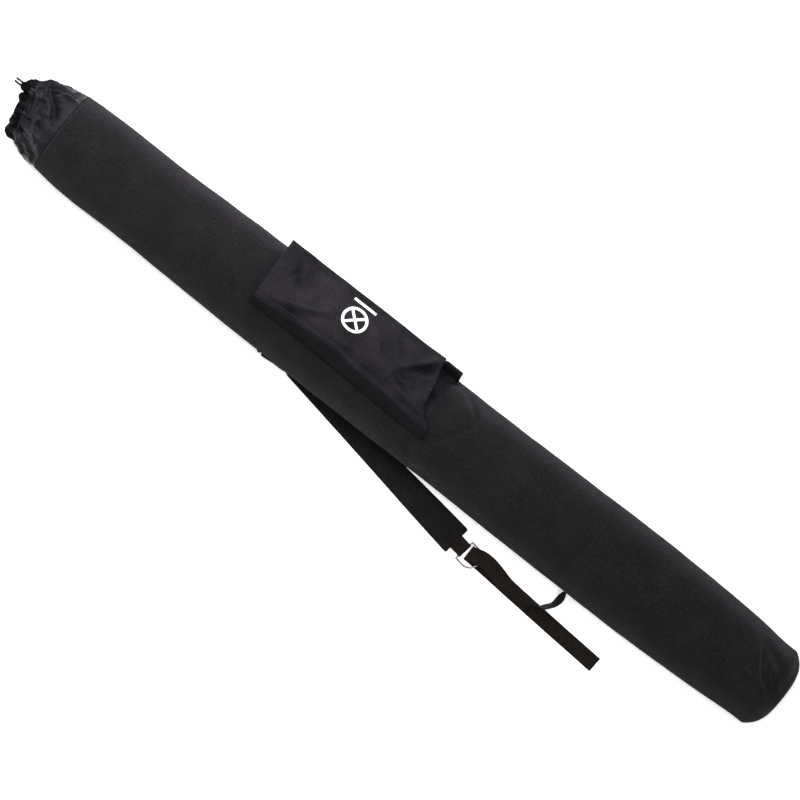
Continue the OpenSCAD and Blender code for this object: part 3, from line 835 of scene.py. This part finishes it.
def make_neck():
    """Thin cloth from the seam to the mouth, turned in there and stitched down as the drawcord's hem. The
    hem's faces get a darker copy of the cloth: painted shade.
    """
    rows, columns = 84, 300
    hem_starts, hem_depth = 0.83, 10.2
    out = neck_points(np.linspace(0, 1, rows), columns)
    back = neck_points(np.linspace(1, 0.62, 22), columns, hem_depth, 0.55)
    lip = (out[-1] + back[0]) / 2 + (-1.4, 0, 0)
    grid = np.concatenate([out, lip[None], back], axis=0)
    in_hem = np.repeat(np.arange(len(grid) - 1) >= hem_starts * rows, columns)
    piece = grid_mesh("neck_cloth", grid, closed=True)
    outward(piece)
    thicken(piece, 0.8)
    dress(piece, neck_cloth, "bag", "neck_nylon", "neck_collar", "drawcord_hem")
    # The hem's faces take the darker cloth: painted shade where the mouth turns away from the light.
    second_cloth(piece, hem_shade_cloth, in_hem)


make_neck()


# ---- Stitches and ribbons ------------------------------------------------------------------------


def resample(points, pitch):
    """Evenly spaced points along a line, with the direction at each."""
    points = np.asarray(points, float)
    steps = np.linalg.norm(np.diff(points, axis=0), axis=1)
    run = np.concatenate([[0], np.cumsum(steps)])
    at = np.arange(pitch / 2, run[-1], pitch)
    here = np.stack([np.interp(at, run, points[:, k]) for k in range(3)], -1)
    ahead = np.stack([np.interp(at + 0.1, run, points[:, k]) for k in range(3)], -1)
    behind = np.stack([np.interp(at - 0.1, run, points[:, k]) for k in range(3)], -1)
    way = ahead - behind
    return here, way / np.maximum(np.linalg.norm(way, axis=1, keepdims=True), 1e-9)


def stitches(name, lines, body, stitch=2.5, pitch=3.6, thick=0.3):
    """Rows of single stitches: short rounded threads laid along each line."""
    sides, rings = 6, ((-0.5, 0.35), (-0.3, 1.0), (0.3, 1.0), (0.5, 0.35))
    vertices, faces = [], []
    for line in lines:
        for here, way in zip(*resample(line, pitch)):
            level = np.cross(way, (0, 0, 1)) if abs(way[2]) < 0.9 else np.cross(way, (1, 0, 0))
            level /= np.linalg.norm(level)
            up = np.cross(level, way)
            base = len(vertices)
            for along, fat in rings:
                for k in range(sides):
                    turn = full_turn * k / sides
                    reach = thick * fat * (math.cos(turn) * level + math.sin(turn) * up)
                    vertices.append(here + way * along * stitch + reach)
            for r in range(len(rings) - 1):
                for k in range(sides):
                    a, b = base + r * sides + k, base + r * sides + (k + 1) % sides
                    faces.append((a, b, b + sides, a + sides))
            faces.append(tuple(base + k for k in reversed(range(sides))))
            faces.append(tuple(base + (len(rings) - 1) * sides + k for k in range(sides)))
    return dress(finish_mesh(name, vertices, faces), thread, body, None)


def spline(points, count):
    """Catmull-Rom curve through points, with count samples for each span."""
    p = np.asarray(points, float)
    p = np.concatenate([[2 * p[0] - p[1]], p, [2 * p[-1] - p[-2]]])
    made = []
    for a, b, c, d in zip(p[:-3], p[1:-2], p[2:-1], p[3:]):
        for t in np.linspace(0, 1, count, endpoint=False):
            made.append(0.5 * (2 * b + (c - a) * t + (2 * a - 5 * b + 4 * c - d) * t**2
                               + (3 * b - a - 3 * c + d) * t**3))
    return np.array(made + [p[-2]])


def ribbon_frame(stops, count):
    """Points, side directions and face directions along a ribbon's stops: (place, side, width)."""
    places = spline([s[0] for s in stops], count)
    sides = spline([s[1] for s in stops], count)
    widths = spline([[s[2], 0, 0] for s in stops], count)[:, 0]
    along = np.gradient(places, axis=0)
    along /= np.linalg.norm(along, axis=1, keepdims=True)
    sides -= (sides * along).sum(1, keepdims=True) * along
    sides /= np.linalg.norm(sides, axis=1, keepdims=True)
    return places, sides, np.cross(along, sides), widths


def ribbon(name, stops, thickness, count=6, body="strap", nodes=()):
    """Webbing along its stops: a flat woven band with full, rounded edges."""
    places, sides, faces_up, widths = ribbon_frame(stops, count)
    v = np.array([-1, -0.97, -0.88, -0.6, -0.3, 0, 0.3, 0.6, 0.88, 0.97, 1])
    fullness = np.where(np.abs(v) > 0.99, 0.35, np.where(np.abs(v) > 0.8, 1.0, 0.86))
    top = np.stack([v, fullness], -1)
    ring = np.concatenate([top, (top * (1, -1))[::-1]])
    grid = (
        places[:, None]
        + sides[:, None] * ring[None, :, :1] * (widths[:, None, None] / 2)
        + faces_up[:, None] * (ring[None, :, 1:] * thickness / 2)
    )
    return dress(outward(capped(name, grid)), webbing, body, "webbing", *nodes)


# ---- Pocket --------------------------------------------------------------------------------------

fold_y, fold_z = flap_low[1] + 0.4, flap_high[2] - 0.5
edge_y, edge_z = flap_high[1] - 0.3, flap_low[2] + 0.6
flap_w = math.hypot(edge_y - fold_y, edge_z - fold_z)
flap_way = np.array([edge_y - fold_y, edge_z - fold_z]) / flap_w
flap_up = np.array([-flap_way[1], flap_way[0]])
flap_t = 1.2
pocket_x0, pocket_x1 = -257, 72
flap_x0, flap_x1 = -257.5, 71
pocket_far_y = 87.4

# The fold's place across the bag and its height, along the bag
fold_line = [(pocket_x0, -12.5), (-220, -9), (-140, -4), (-110, -2.5), (-80, -5.5), (-20, -8), (40, -13),
             (pocket_x1, -17)]
fold_height = [(pocket_x0, 131), (-180, 132), (-60, 131), (10, 127), (50, 117), (pocket_x1, 108.5)]
root_line = [(pocket_x0, -25), (-100, -27.5), (pocket_x1, -32)]
# The flap's right-hand edge, by distance from the fold
flap_end = [(0, flap_x1), (6, 67), (13, 56), (22, 45), (38, 41), (54, 38), (70, 34.5), (86, 29), (flap_w, 27)]

flap_folds = [
    ([(-236, -6), (-205, 8), (-175, 22), (-140, 42)], 3.0, 9),
    ([(-250, 38), (-240, 52), (-226, 66)], 2.0, 11),
    ([(-232, 66), (-205, 48), (-178, 38), (-150, 20)], -1.8, 12),
    ([(-215, 12), (-190, 28), (-160, 52)], -1.2, 8),
    ([(-24, 32), (-8, 48), (14, 70), (24, 78)], 3.2, 6.5),
    ([(-26, 24), (-4, 24), (16, 34)], -1.6, 8),
    ([(12, 44), (22, 53), (30, 64)], -1.4, 6),
    ([(-60, 72), (-38, 50), (-24, 30)], 1.4, 9),
    ([(-84, 78), (-60, 56), (-48, 34)], -1.2, 9),
    ([(-10, 10), (20, 4), (48, -4)], 1.6, 8),
    ([(-140, 6), (-105, 10), (-90, 24)], 1.0, 9),
]


def flap_place(share, s, lift=0.0):
    """Point on the flap at a share of its length and distance s from the fold."""
    share, s = np.broadcast_arrays(np.asarray(share, float), np.asarray(s, float))
    left = flap_x0 - 4.6 * s / flap_w
    right = through(flap_end, np.clip(s, 0, flap_w))
    return flap_at(left + share * (right - left), s, lift)


def flap_at(x, s, lift=0.0):
    """Point on the flap at x and distance s from the fold."""
    x, s = np.broadcast_arrays(np.asarray(x, float), np.asarray(s, float))
    within = np.clip(x, pocket_x0, pocket_x1)
    y0, z0 = through(fold_line, within), through(fold_height, within)
    part = s / flap_w
    y = y0 + (edge_y - y0) * part
    z = z0 + (edge_z - z0) * part + 3.2 * np.sin(np.pi * np.clip(part, 0, 1))
    flat = np.stack([x, y, z], -1)
    soft = 4.0 * ripple(flat * (0.8, 1, 1), 58, 4.4) + 1.7 * ripple(flat, 24, 8.8)
    away = smooth(0, 14, s)
    curl = 2.2 * smooth(0.55, 1, part) * smooth(-10, 30, x) - 1.6 * smooth(0.9, 1, part)
    welt = 1.2 * smooth(0, 1.2, s) * (1 - smooth(4.6, 5.6, s))
    rise = (soft + 2.3 * relief(flap_folds, x, y) + curl) * away + welt + lift
    return flat + np.stack([np.zeros_like(x), flap_up[0] * rise, flap_up[1] * rise], -1)


def wall_place(x, part):
    """Point on the pocket's upper wall, from the tube (0) to the flap's fold (1)."""
    x, part = np.broadcast_arrays(np.asarray(x, float), np.asarray(part, float))
    top = flap_at(x, 0.0)
    foot_y = through(root_line, np.clip(x, pocket_x0, pocket_x1))
    side = through(near_width, x)
    foot_z = tube_mid_z + tube_half_h * np.sqrt(1 - (foot_y / side) ** 2) + 0.2
    y = foot_y + (top[..., 1] - foot_y) * part
    z = foot_z + (top[..., 2] - foot_z) * part
    bow = 2.6 * np.sin(np.pi * part) + 0.8 * ripple(np.stack([x, y, z], -1), 24, 6.1) * np.sin(np.pi * part)
    return np.stack([x, y - bow * 0.5, z - bow * 0.25], -1)


def make_flap():
    """One cloth from the wall's seam, over the fold, to the flap's free edge, where it is hemmed."""
    shares = np.concatenate([np.linspace(0, 0.66, 84), np.linspace(0.67, 1, 60)])
    wall_rows = 12
    wall_x = flap_x0 + shares * (flap_x1 - flap_x0)
    rows = [wall_place(wall_x, part) for part in np.linspace(0, 0.96, wall_rows)]
    distances = np.concatenate([np.linspace(0, 7, 10), np.linspace(8.5, flap_w, 46)])
    rows += [flap_place(shares, s) for s in distances]
    rows += [flap_place(shares, flap_w + 0.8, -0.9), flap_place(shares, flap_w - 0.3, -1.9)]
    rows += [flap_place(shares, s, -1.8) for s in (flap_w - 4, flap_w - 8, flap_w - 12)]
    piece = grid_mesh("pocket_flap_cloth", np.array(rows).transpose(1, 0, 2))
    thicken(piece, flap_t, 0)
    piece.data.materials.append(pocket_cloth)
    second_cloth(piece, gusset_cloth, np.tile(np.arange(len(rows) - 1) < wall_rows - 1, len(shares) - 1))
    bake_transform(piece)
    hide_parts("pocket_flap", "pocket_upper_wall", "flap_fold_welt", "flap_hem")


def body_place(x, part):
    """Point on the pocket's body under the flap: its front (part 0 to 0.7), then its far wall to the tube."""
    x, part = np.broadcast_arrays(np.asarray(x, float), np.asarray(part, float))
    down = np.clip((part - 0.7) / 0.3, 0, 1)
    far = smooth(0.54, 0.7, part)
    s = 13 + (flap_w - 5 - 13) * np.clip(part / 0.7, 0, 1)
    bare = smooth(18, 34, x)
    top = flap_at(np.clip(x, -250, 34), s, -4.6 + 2.6 * bare)
    slump = 22 * smooth(26, 60, x) * far
    y = top[..., 1] + 4.6 * bare * smooth(0.5, 0.7, part) + 2.0 * np.sin(np.pi * down) - 9 * down
    y = np.minimum(y, pocket_far_y)
    z = top[..., 2] - slump
    z = z + (np.minimum(66, z - 2) - z) * down
    high = np.stack([x, y, z], -1)
    over = np.arccos(np.clip(y / through(far_width, x), -0.98, 0.98))
    beside = np.maximum(np.arcsin(np.clip((z - tube_mid_z) / tube_half_h, -1, 1)), 0)
    low = tube_at(x, np.where(part > 0.7, np.minimum(beside, over + 0.3), over), -0.9)
    rise = (1 - far) * (1 - smooth(-8, 62, x)) + far * (1 - smooth(59.5, 62.5, x))
    rise = rise * smooth(-258.5, -255.5, x)
    return low + (high - low) * rise[..., None]


def make_pocket_body():
    """The pocket's front and its gusset: full at the neck end, sloping down to its seam at the other."""
    places = np.concatenate([np.linspace(-259, -254, 7), np.linspace(-248, 16, 50), np.linspace(19, 71, 44)])
    parts = np.concatenate([np.linspace(0, 0.68, 26), np.linspace(0.7, 1, 16)])
    piece = thicken(grid_mesh("pocket_body_cloth", body_place(*lattice(places, parts))), 1.2, 0)
    dress(piece, pocket_cloth, "bag", "pocket_nylon", "pocket_gusset", "pocket_front")


def strip_on(name, place, xs, across, thickness, material, body, slot, *nodes):
    """A flat strip that follows a surface; place takes x and a distance."""
    piece = thicken(grid_mesh(name, place(*lattice(xs, across))), thickness, 0)
    return dress(piece, material, body, slot, *nodes)


def make_pocket_trim():
    """The two closing tapes, and the binding of the pocket's mouth."""
    low, high = box_mm("flap_hook_strip")
    xs = np.linspace(low[0], high[0], 60)
    s = np.linspace(flap_w - 34, flap_w - 14, 8)
    strip_on("hook_tape", lambda x, d: flap_at(x, d, -1.7), xs, s, 1.2, fuzzy, "flap", "touch_fastener",
             "flap_hook_strip")
    strip_on("loop_tape", lambda x, d: flap_at(x, d, -3.5), xs, s, 1.4, fuzzy, "bag", "touch_fastener",
             "pocket_loop_strip")
    low, high = box_mm("pocket_mouth_binding")
    strip_on("mouth_binding_tape", lambda x, d: flap_at(x, d, -5.0), np.linspace(low[0] + 6, 22, 60),
             np.linspace(10.6, 16, 6), 2.0, binding, "bag", "binding", "pocket_mouth_binding")


def print_shape(name, loops):
    """Thin ink laid on the flap: each loop is a grid of (x, s) places."""
    pieces = []
    for k, places in enumerate(loops):
        grid = flap_at(places[..., 0], places[..., 1], flap_t / 2 + 0.12)
        pieces.append(thicken(grid_mesh(f"{name}_{k}", grid), 0.2, 0))
    piece = join(name, pieces)
    return dress(piece, print_ink, "flap", "print_white", "flap_emblem")


def make_print():
    """Two crossed sticks in a ring, with a plain bar beside them."""
    mark_x, mark_s, ring_r, line = -116, 59, 21, 4.2
    turn = np.linspace(0, full_turn, 97)
    bar = np.linspace(-2, 2, 4)
    radii = np.linspace(ring_r - line, ring_r, 4)
    ring = np.stack([mark_x + np.outer(np.cos(turn), radii), mark_s + np.outer(np.sin(turn), radii)], -1)
    loops = [ring]
    for lean in (math.radians(45), math.radians(135)):
        along, across = lattice(np.linspace(1 - ring_r, ring_r - 1, 30), bar)
        x = mark_x + along * math.cos(lean) - across * math.sin(lean)
        loops.append(np.stack([x, mark_s + along * math.sin(lean) + across * math.cos(lean)], -1))
    along, across = lattice(np.linspace(-20, 20, 30), bar)
    loops.append(np.stack([mark_x + along, mark_s + 29 + across], -1))
    print_shape("flap_print", loops)


make_flap()
make_pocket_body()
make_pocket_trim()
make_print()

stitch_lift = 0.75
seam_rows = [flap_place(0.0, np.linspace(2, flap_w - 3, 60), stitch_lift) + (4.5, 0, 0)]
seam_rows += [flap_place(np.linspace(0.01, 0.99, 160), s, stitch_lift) for s in (6.6, flap_w - 10.5)]
stitches("flap_stitches", seam_rows, "flap")


# ---- Strap ---------------------------------------------------------------------------------------

swing_y, swing_z = -75.5, 26.5
web_w, web_t = 25, 1.6
floor_gap = 0.3
flat_way = (0.06, 1, 0)


def strap_side(z):
    """Angle round the tube at a height on the strap's side."""
    return np.pi - math.asin((z - tube_mid_z) / tube_half_h)


def anchor(name, x0, x1, tab_x0, tab_x1, node):
    """Patch of webbing sewn to the tube's lower side, with a rolled tab where the strap swings."""
    tab_xs, roll_r = np.linspace(tab_x0, tab_x1, 8), 2.3
    x, a = lattice(np.linspace(x0, x1, 22), np.linspace(strap_side(40), strap_side(14), 18))
    patch = thicken(grid_mesh(name, tube_at(x, a, 1.1)), 1.5, 0)
    turn = np.linspace(0.4, full_turn + 0.4, 21)[:-1]
    tab = [[(place, swing_y + roll_r * math.cos(t), swing_z + roll_r * math.sin(t)) for t in turn]
           for place in tab_xs]
    roll = outward(capped(name + "_roll", tab))
    web_x, part = lattice(tab_xs, np.linspace(0, 1, 6))
    inner = tube_at(web_x, np.full(web_x.shape, strap_side(24)), 0.6)
    outer = np.stack([web_x, np.full(web_x.shape, swing_y), np.full(web_x.shape, swing_z - 1.6)], -1)
    neck = thicken(grid_mesh(name + "_neck", inner + (outer - inner) * part[..., None]), 3.2, 0)
    return dress(join(name, [patch, roll, neck]), webbing, "bag", "webbing", node)


anchor("upper_anchor", -240, -200.6, -206.4, -200.7, "upper_anchor_patch")
anchor("lower_anchor", 368, 393.8, 379.8, 382.8, "lower_anchor_patch")

upper_stops = [
    ((-198, swing_y, swing_z), (0, 0.57, -0.82), 10),
    ((-193, -75.3, 25.4), (0, 0.57, -0.82), 11),
    ((-182, -73.5, 18), (0, 0.6, -0.8), 13),
    ((-172, -71, 11.5), (0, 0.8, -0.6), 16),
    ((-162, -68.5, 6), (0, 1, -0.25), 19),
    ((-154.5, -66.8, 3.6), (0, 1, -0.05), 20),
    ((-144, -67.6, 3.7), (0, 1, 0), 20),
]
ribbon("upper_webbing", upper_stops, web_t, 6, nodes=("strap_upper_webbing",))

# The pad's inner and outer edges from above, along the bag
pad_x0, pad_x1 = -150, 209
pad_inner = [(pad_x0, -55.5), (83, -78.6), (150, -87), (211.5, -95.2)]
pad_outer = [(pad_x0, -77.5), (30, -109.6), (120, -126), (206, -140.8)]
pad_mid_z, pad_half_t = 3.7, 2.75
thread_lift, row_v = (0, 0, 0.25), 0.86


def pad_place(u, v, side, inset=0.0, flat=1.0):
    """Point on the pad: u along it, v across it from -1 (outer) to 1 (inner), side 1 on top, -1 below."""
    u, v = np.broadcast_arrays(np.asarray(u, float), np.asarray(v, float))
    left, right = pad_x0 + inset, pad_x1 - inset
    along = left + (right - left) * u
    inner, outer = through(pad_inner, along), through(pad_outer, along)
    y = (inner + outer) / 2 + (inner - outer - 2 * inset) / 2 * v
    x = along + 3.0 * v * smooth(0.55, 1, u)
    edge = np.minimum(1 - np.abs(v) ** 5, 1 - np.abs(2 * u - 1) ** 60)
    tall = (pad_half_t - 0.25 * inset) * flat * np.clip(edge, 0, 1) ** 0.5
    z = np.full(x.shape, pad_mid_z) + side * tall
    if side > 0 and inset == 0:
        fade = smooth(0, 0.25, 1 - np.abs(v))
        middle = np.abs(y - (inner + outer) / 2 - 2) / 1.6
        z = z - 1.3 * np.exp(-(middle**2)) * smooth(0.62, 0.7, u) * smooth(0.97, 0.94, u)
        ends = np.abs(along - 201) / 1.5
        z = z - 0.9 * np.exp(-(ends**2)) * fade
        z = z + fade * (0.5 * ripple(np.stack([x, y, z], -1), 30, 2.4) - 0.35)
    return np.stack([x, y, np.maximum(z, floor_gap)], -1)


def pad_layer(name, side_low, side_high, inset, material, slot, node):
    """One layer of the pad as a closed form between two of its levels."""
    u = np.concatenate([[0, 0.002, 0.006, 0.012], np.linspace(0.02, 0.98, 150), [0.988, 0.994, 0.998, 1]])
    v = np.sin(np.linspace(-np.pi / 2, np.pi / 2, 41))
    top = pad_place(u[:, None], v[None], 1, inset, side_high)
    low = pad_place(u[:, None], v[None, ::-1], -1, inset, side_low)
    piece = outward(merge(capped(name, np.concatenate([top, low[:, 1:-1]], axis=1))))
    return dress(piece, material, "strap", slot, node)


pad_cover = pad_layer("pad_cover", 0.62, 1.0, 0, pad_cloth, "pad_fabric", "pad_top")
pad_layer("pad_filling", 0.45, 0.3, 2.2, foam_grey, "foam", "pad_foam")


def pad_edge(v):
    """Line of stitches along one side of the pad, from its hidden end to its ring end."""
    return pad_place(np.linspace(0.004, 0.996, 120), v, 1, 0) + thread_lift


u_all = np.linspace(0.003, 0.997, 140)
underside = np.stack([pad_place(u_all, v, -1, 0.8, 0.98) for v in np.linspace(-0.98, 0.98, 24)], 1)
underside[..., 2] = np.maximum(underside[..., 2], floor_gap) + 0.05
pad_back = thicken(grid_mesh("pad_underside", underside), 0.5, 0)
pad_back.data.transform(Matrix.Translation((0, 0, 0.0002)))
dress(pad_back, pad_cloth, "strap", "pad_fabric", "pad_backing")

core_line = ((-148, -67.6), (-20, -86), (100, -103), (203, -117))
core_stops = [((x, y, 4.0), (0.14, 1, 0), 19) for x, y in core_line]
ribbon("pad_core", core_stops, 1.2, 12, nodes=("pad_core_webbing",))


def piping(name, line, radius, material, body, slot):
    """Round binding rolled over an edge, along a line."""
    here, way = resample(line, radius * 1.6)
    turn = np.linspace(0, full_turn, 10, endpoint=False)
    level = np.cross(way, (0, 0, 1))
    level /= np.linalg.norm(level, axis=1, keepdims=True)
    up = np.cross(level, way)
    grid = here[:, None] + radius * (
        np.cos(turn)[None, :, None] * level[:, None] + np.sin(turn)[None, :, None] * up[:, None]
    )
    return dress(outward(capped(name, grid)), material, body, slot)


rim = np.concatenate([pad_place(np.linspace(0.004, 0.996, 100), 0.985, 1),
                      pad_place(0.996, np.linspace(0.96, -0.96, 24), 1),
                      pad_place(np.linspace(0.996, 0.004, 100), -0.985, 1)])
rim[:, 2] = pad_mid_z - 0.3
piping("pad_piping", rim, 1.35, binding, "strap", "binding")

pad_rows = [pad_edge(v) for v in (row_v, -row_v)]
pad_rows += [pad_place(u, np.linspace(-row_v, row_v, 30), 1) + thread_lift for u in (0.975, 0.955)]
stitches("pad_stitches", pad_rows, "strap", stitch=2.2, pitch=3.4, thick=0.28)

ring_turn = math.radians(-9)
ring_bar = (226, -122)


def from_ring(x, y, z):
    """Place given from the middle of the rings' bars, turned as the rings are."""
    c, s = math.cos(ring_turn), math.sin(ring_turn)
    return (ring_bar[0] + x * c - y * s, ring_bar[1] + x * s + y * c, z)


ring_mid_z = 4.85
loop_path = [(-18, 0.9), (-9, 1.6), (-3.4, 3.3), (0, 3.75), (1.7, 2.6), (2.3, 0), (1.7, -2.6), (0, -3.75),
             (-3.4, -3.3), (-9, -1.6), (-18, -0.9)]
ring_side = (-math.sin(ring_turn), math.cos(ring_turn), 0)
loop_stops = [(from_ring(x, 0, ring_mid_z + z), ring_side, web_w) for x, z in loop_path]
ribbon("end_loop", loop_stops, 1.2, 5, nodes=("pad_end_loop",))

run_z, tail_z = 8.8, floor_gap + web_t / 2
wrap_x, wrap_y = 237.5, -121
wrap_r, wrap_mid = (run_z - tail_z) / 2, (run_z + tail_z) / 2
tail_split, tail_tip = (386.6, -131.2), (488, -137.4)
hem_rise = 1.75
run_stops = [
    ((384, swing_y, swing_z), (0, 0.2, 1), 7),
    ((384.5, -84, 24.6), (0.7, 0.2, 0.65), 11.5),
    ((384, -95, 20.5), (0.55, 0.15, 0.8), 17),
    ((380, -107, 17), (0.22, -0.1, 1), 24),
    ((371, -117, 15), (0.12, -0.16, 1), web_w),
    ((357, -122.5, 13.6), (0, 0.6, 1), web_w),
    ((342, -125, 11.2), (0, 1, 0.8), web_w),
    ((326, -126, 9.4), (0, 1, 0.35), web_w),
    ((308, -125, run_z), (0.05, 1, 0.1), web_w),
    ((290, -120.5, run_z), (0.15, 1, 0), web_w),
    ((272, -116.5, run_z), (0.1, 1, 0), web_w),
    ((256, -116, run_z), (-0.1, 1, 0), web_w),
    ((245, -119, run_z), (-0.1, 1, 0), web_w),
]
wrap_stops = [
    ((wrap_x + wrap_r * math.cos(t), wrap_y, wrap_mid + wrap_r * math.sin(t)), (0, 1, 0), web_w)
    for t in np.radians(np.arange(90, 271, 30))
]
under_stops = [((252, -121.8, tail_z), flat_way, web_w), ((300, -125.2, tail_z), flat_way, web_w),
               ((360, -129.4, tail_z), flat_way, web_w)]
ribbon("adjuster_run", run_stops + wrap_stops + under_stops, web_t, 7, nodes=("adjuster_webbing",))

tail_way = np.array([tail_tip[0] - tail_split[0], tail_tip[1] - tail_split[1]])
tail_way /= np.linalg.norm(tail_way)


def on_tail(back, z):
    """Point on the tail's middle line, this far back from its tip."""
    return (tail_tip[0] - tail_way[0] * back, tail_tip[1] - tail_way[1] * back, z)


tail_stops = [((359.5, -129.4, tail_z), flat_way, web_w), ((373, -130.3, tail_z), flat_way, web_w)]
tail_stops += [(on_tail(back, tail_z), flat_way, web_w) for back in (105, 102, 99, 96, 70, 40, 18, 2)]
tail_stops += [(on_tail(0.2, tail_z + 0.9), flat_way, web_w)]
tail_stops += [(on_tail(back, tail_z + hem_rise), flat_way, web_w) for back in (2, 9, 15.5)]
tail_piece = ribbon("tail_webbing", tail_stops, web_t, 7, body=None, nodes=("strap_tail", "tail_hem"))
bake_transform(tail_piece)


def box_rows(place, x0, x1, half):
    """Sewn box with a cross in it: place takes a distance and a side shift."""
    edge = np.linspace(0, 1, 12)
    rows = []
    for a, b in (((x0, -half), (x1, -half)), ((x1, -half), (x1, half)), ((x1, half), (x0, half)),
                 ((x0, half), (x0, -half)), ((x0, -half), (x1, half)), ((x0, half), (x1, -half))):
        rows.append([place(a[0] + (b[0] - a[0]) * t, a[1] + (b[1] - a[1]) * t) for t in edge])
    return rows


def on_hem(back, shift):
    """Point on the tail's hem, this far back from its tip and to one side."""
    x, y, z = on_tail(back, tail_z + hem_rise + web_t / 2 + 0.1)
    return (x - tail_way[1] * shift, y + tail_way[0] * shift, z)


web_stitch = {"stitch": 1.9, "pitch": 2.7, "thick": 0.26}
stitches("tail_stitches", box_rows(on_hem, 2.5, 13, 10), "tail", **web_stitch)


def on_loop(x, shift):
    """Point on the end loop's upper face, from the middle of the rings' bars."""
    return from_ring(x, shift, ring_mid_z + 1.9 + 0.3 * (x + 18) / 8)


loop_rows = [[on_loop(x, shift) for shift in np.linspace(-10.5, 10.5, 16)] for x in (-15.5, -12.5)]
stitches("loop_stitches", loop_rows, "strap", **web_stitch)


# ---- Seams ---------------------------------------------------------------------------------------


ring_count = 240


def ring_line(x, inset, wobble=0.0):
    """Closed line round the tube at one place along it."""
    xs = np.full(ring_count, float(x))
    y, z, _, _ = tube_surface(xs, np.linspace(0, full_turn, ring_count), inset)
    line = np.stack([xs, y, np.maximum(z, 1.1)], -1)
    line[:, 0] += wobble * ripple(line, 30, 3.3)
    return line


def surface_ring(x, inset):
    """Closed line round the tube's finished cloth at one place along it."""
    ring = tube_points(np.array([x]), ring_count)[0]
    middle = ring.mean(0)
    line = middle + (ring - middle) * (1 - inset / tube_half_h)
    return np.concatenate([line, line[:1]])


piping("neck_seam", ring_line(seam_x - 0.4, 0.9, 0.8), 1.0, seam_dark, "bag", "binding")
piping("base_seam", surface_ring(shell_end, 0.6), 0.4, charcoal_cloth, "bag", "body_fabric")


def inner_tape(name, node):
    """Binding sewn over the raw edges of a seam, inside the lining."""
    low, high = box_mm(node)
    depth = 8.9
    tube_layer(name, np.linspace(low[0], high[0], 5), 96, (depth, depth + 0.8), binding, "binding", node)


inner_tape("neck_tape", "neck_seam_tape")
inner_tape("base_tape", "base_seam_tape")


def tube_row(x0, x1, path, lift):
    """Line along the top of the tube, at the distance across it that the path gives."""
    x = np.linspace(x0, x1, 90)
    across = through(path, x)
    side = np.where(across > 0, through(far_width, x), through(near_width, x))
    return tube_at(x, np.arccos(np.clip(across / side, -1, 1)), lift)


root_near = [(a, b - 2.2) for a, b in root_line]
stitches("pocket_root_stitches", [tube_row(-255, 70, root_near, 0.4)], "bag", thick=0.26)

end_x, end_a = np.full(40, 69.5), np.linspace(math.acos(-4 / 75), math.acos(56 / 75), 40)
stitches("pocket_end_stitches", [tube_at(end_x, end_a, 0.7)], "bag")

neck_ring = ring_line(seam_x + 3.2, -0.1)
stitches("neck_stitches", [neck_ring[neck_ring[:, 2] > 3]], "bag", thick=0.24)


# ---- Cord lock's spring --------------------------------------------------------------------------

coil_low, coil_high = box_mm("cord_lock_spring")
lock_low, lock_high = box_mm("cord_lock_body")
lock_mid = (lock_low + lock_high) / 2
wire_r, coil_r, coil_turns = 0.3, 4.0, 2.5
coil_a = np.linspace(0, full_turn * coil_turns, 90)
coil_z = np.linspace(coil_low[2] + wire_r, coil_high[2] - wire_r, 90)
coil_x, coil_y = lock_mid[0] + coil_r * np.cos(coil_a), lock_mid[1] + coil_r * np.sin(coil_a)
coil_line = np.stack([coil_x, coil_y, coil_z], -1)
lock_spring = piping("lock_spring", coil_line, wire_r, spring_wire, "cord_lock", "spring_steel")
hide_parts("cord_lock_spring")
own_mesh(lock_spring)


# ---- CAD nodes that keep their own shape ---------------------------------------------------------

for node, material in {
    "drawcord": cord_braid, "cord_lock_body": lock_nylon, "cord_lock_button": lock_nylon,
    "strap_ring_upper": wire_plate, "strap_ring_lower": wire_plate,
}.items():
    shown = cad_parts[node]
    shown.data.materials.clear()
    shown.data.materials.append(material)
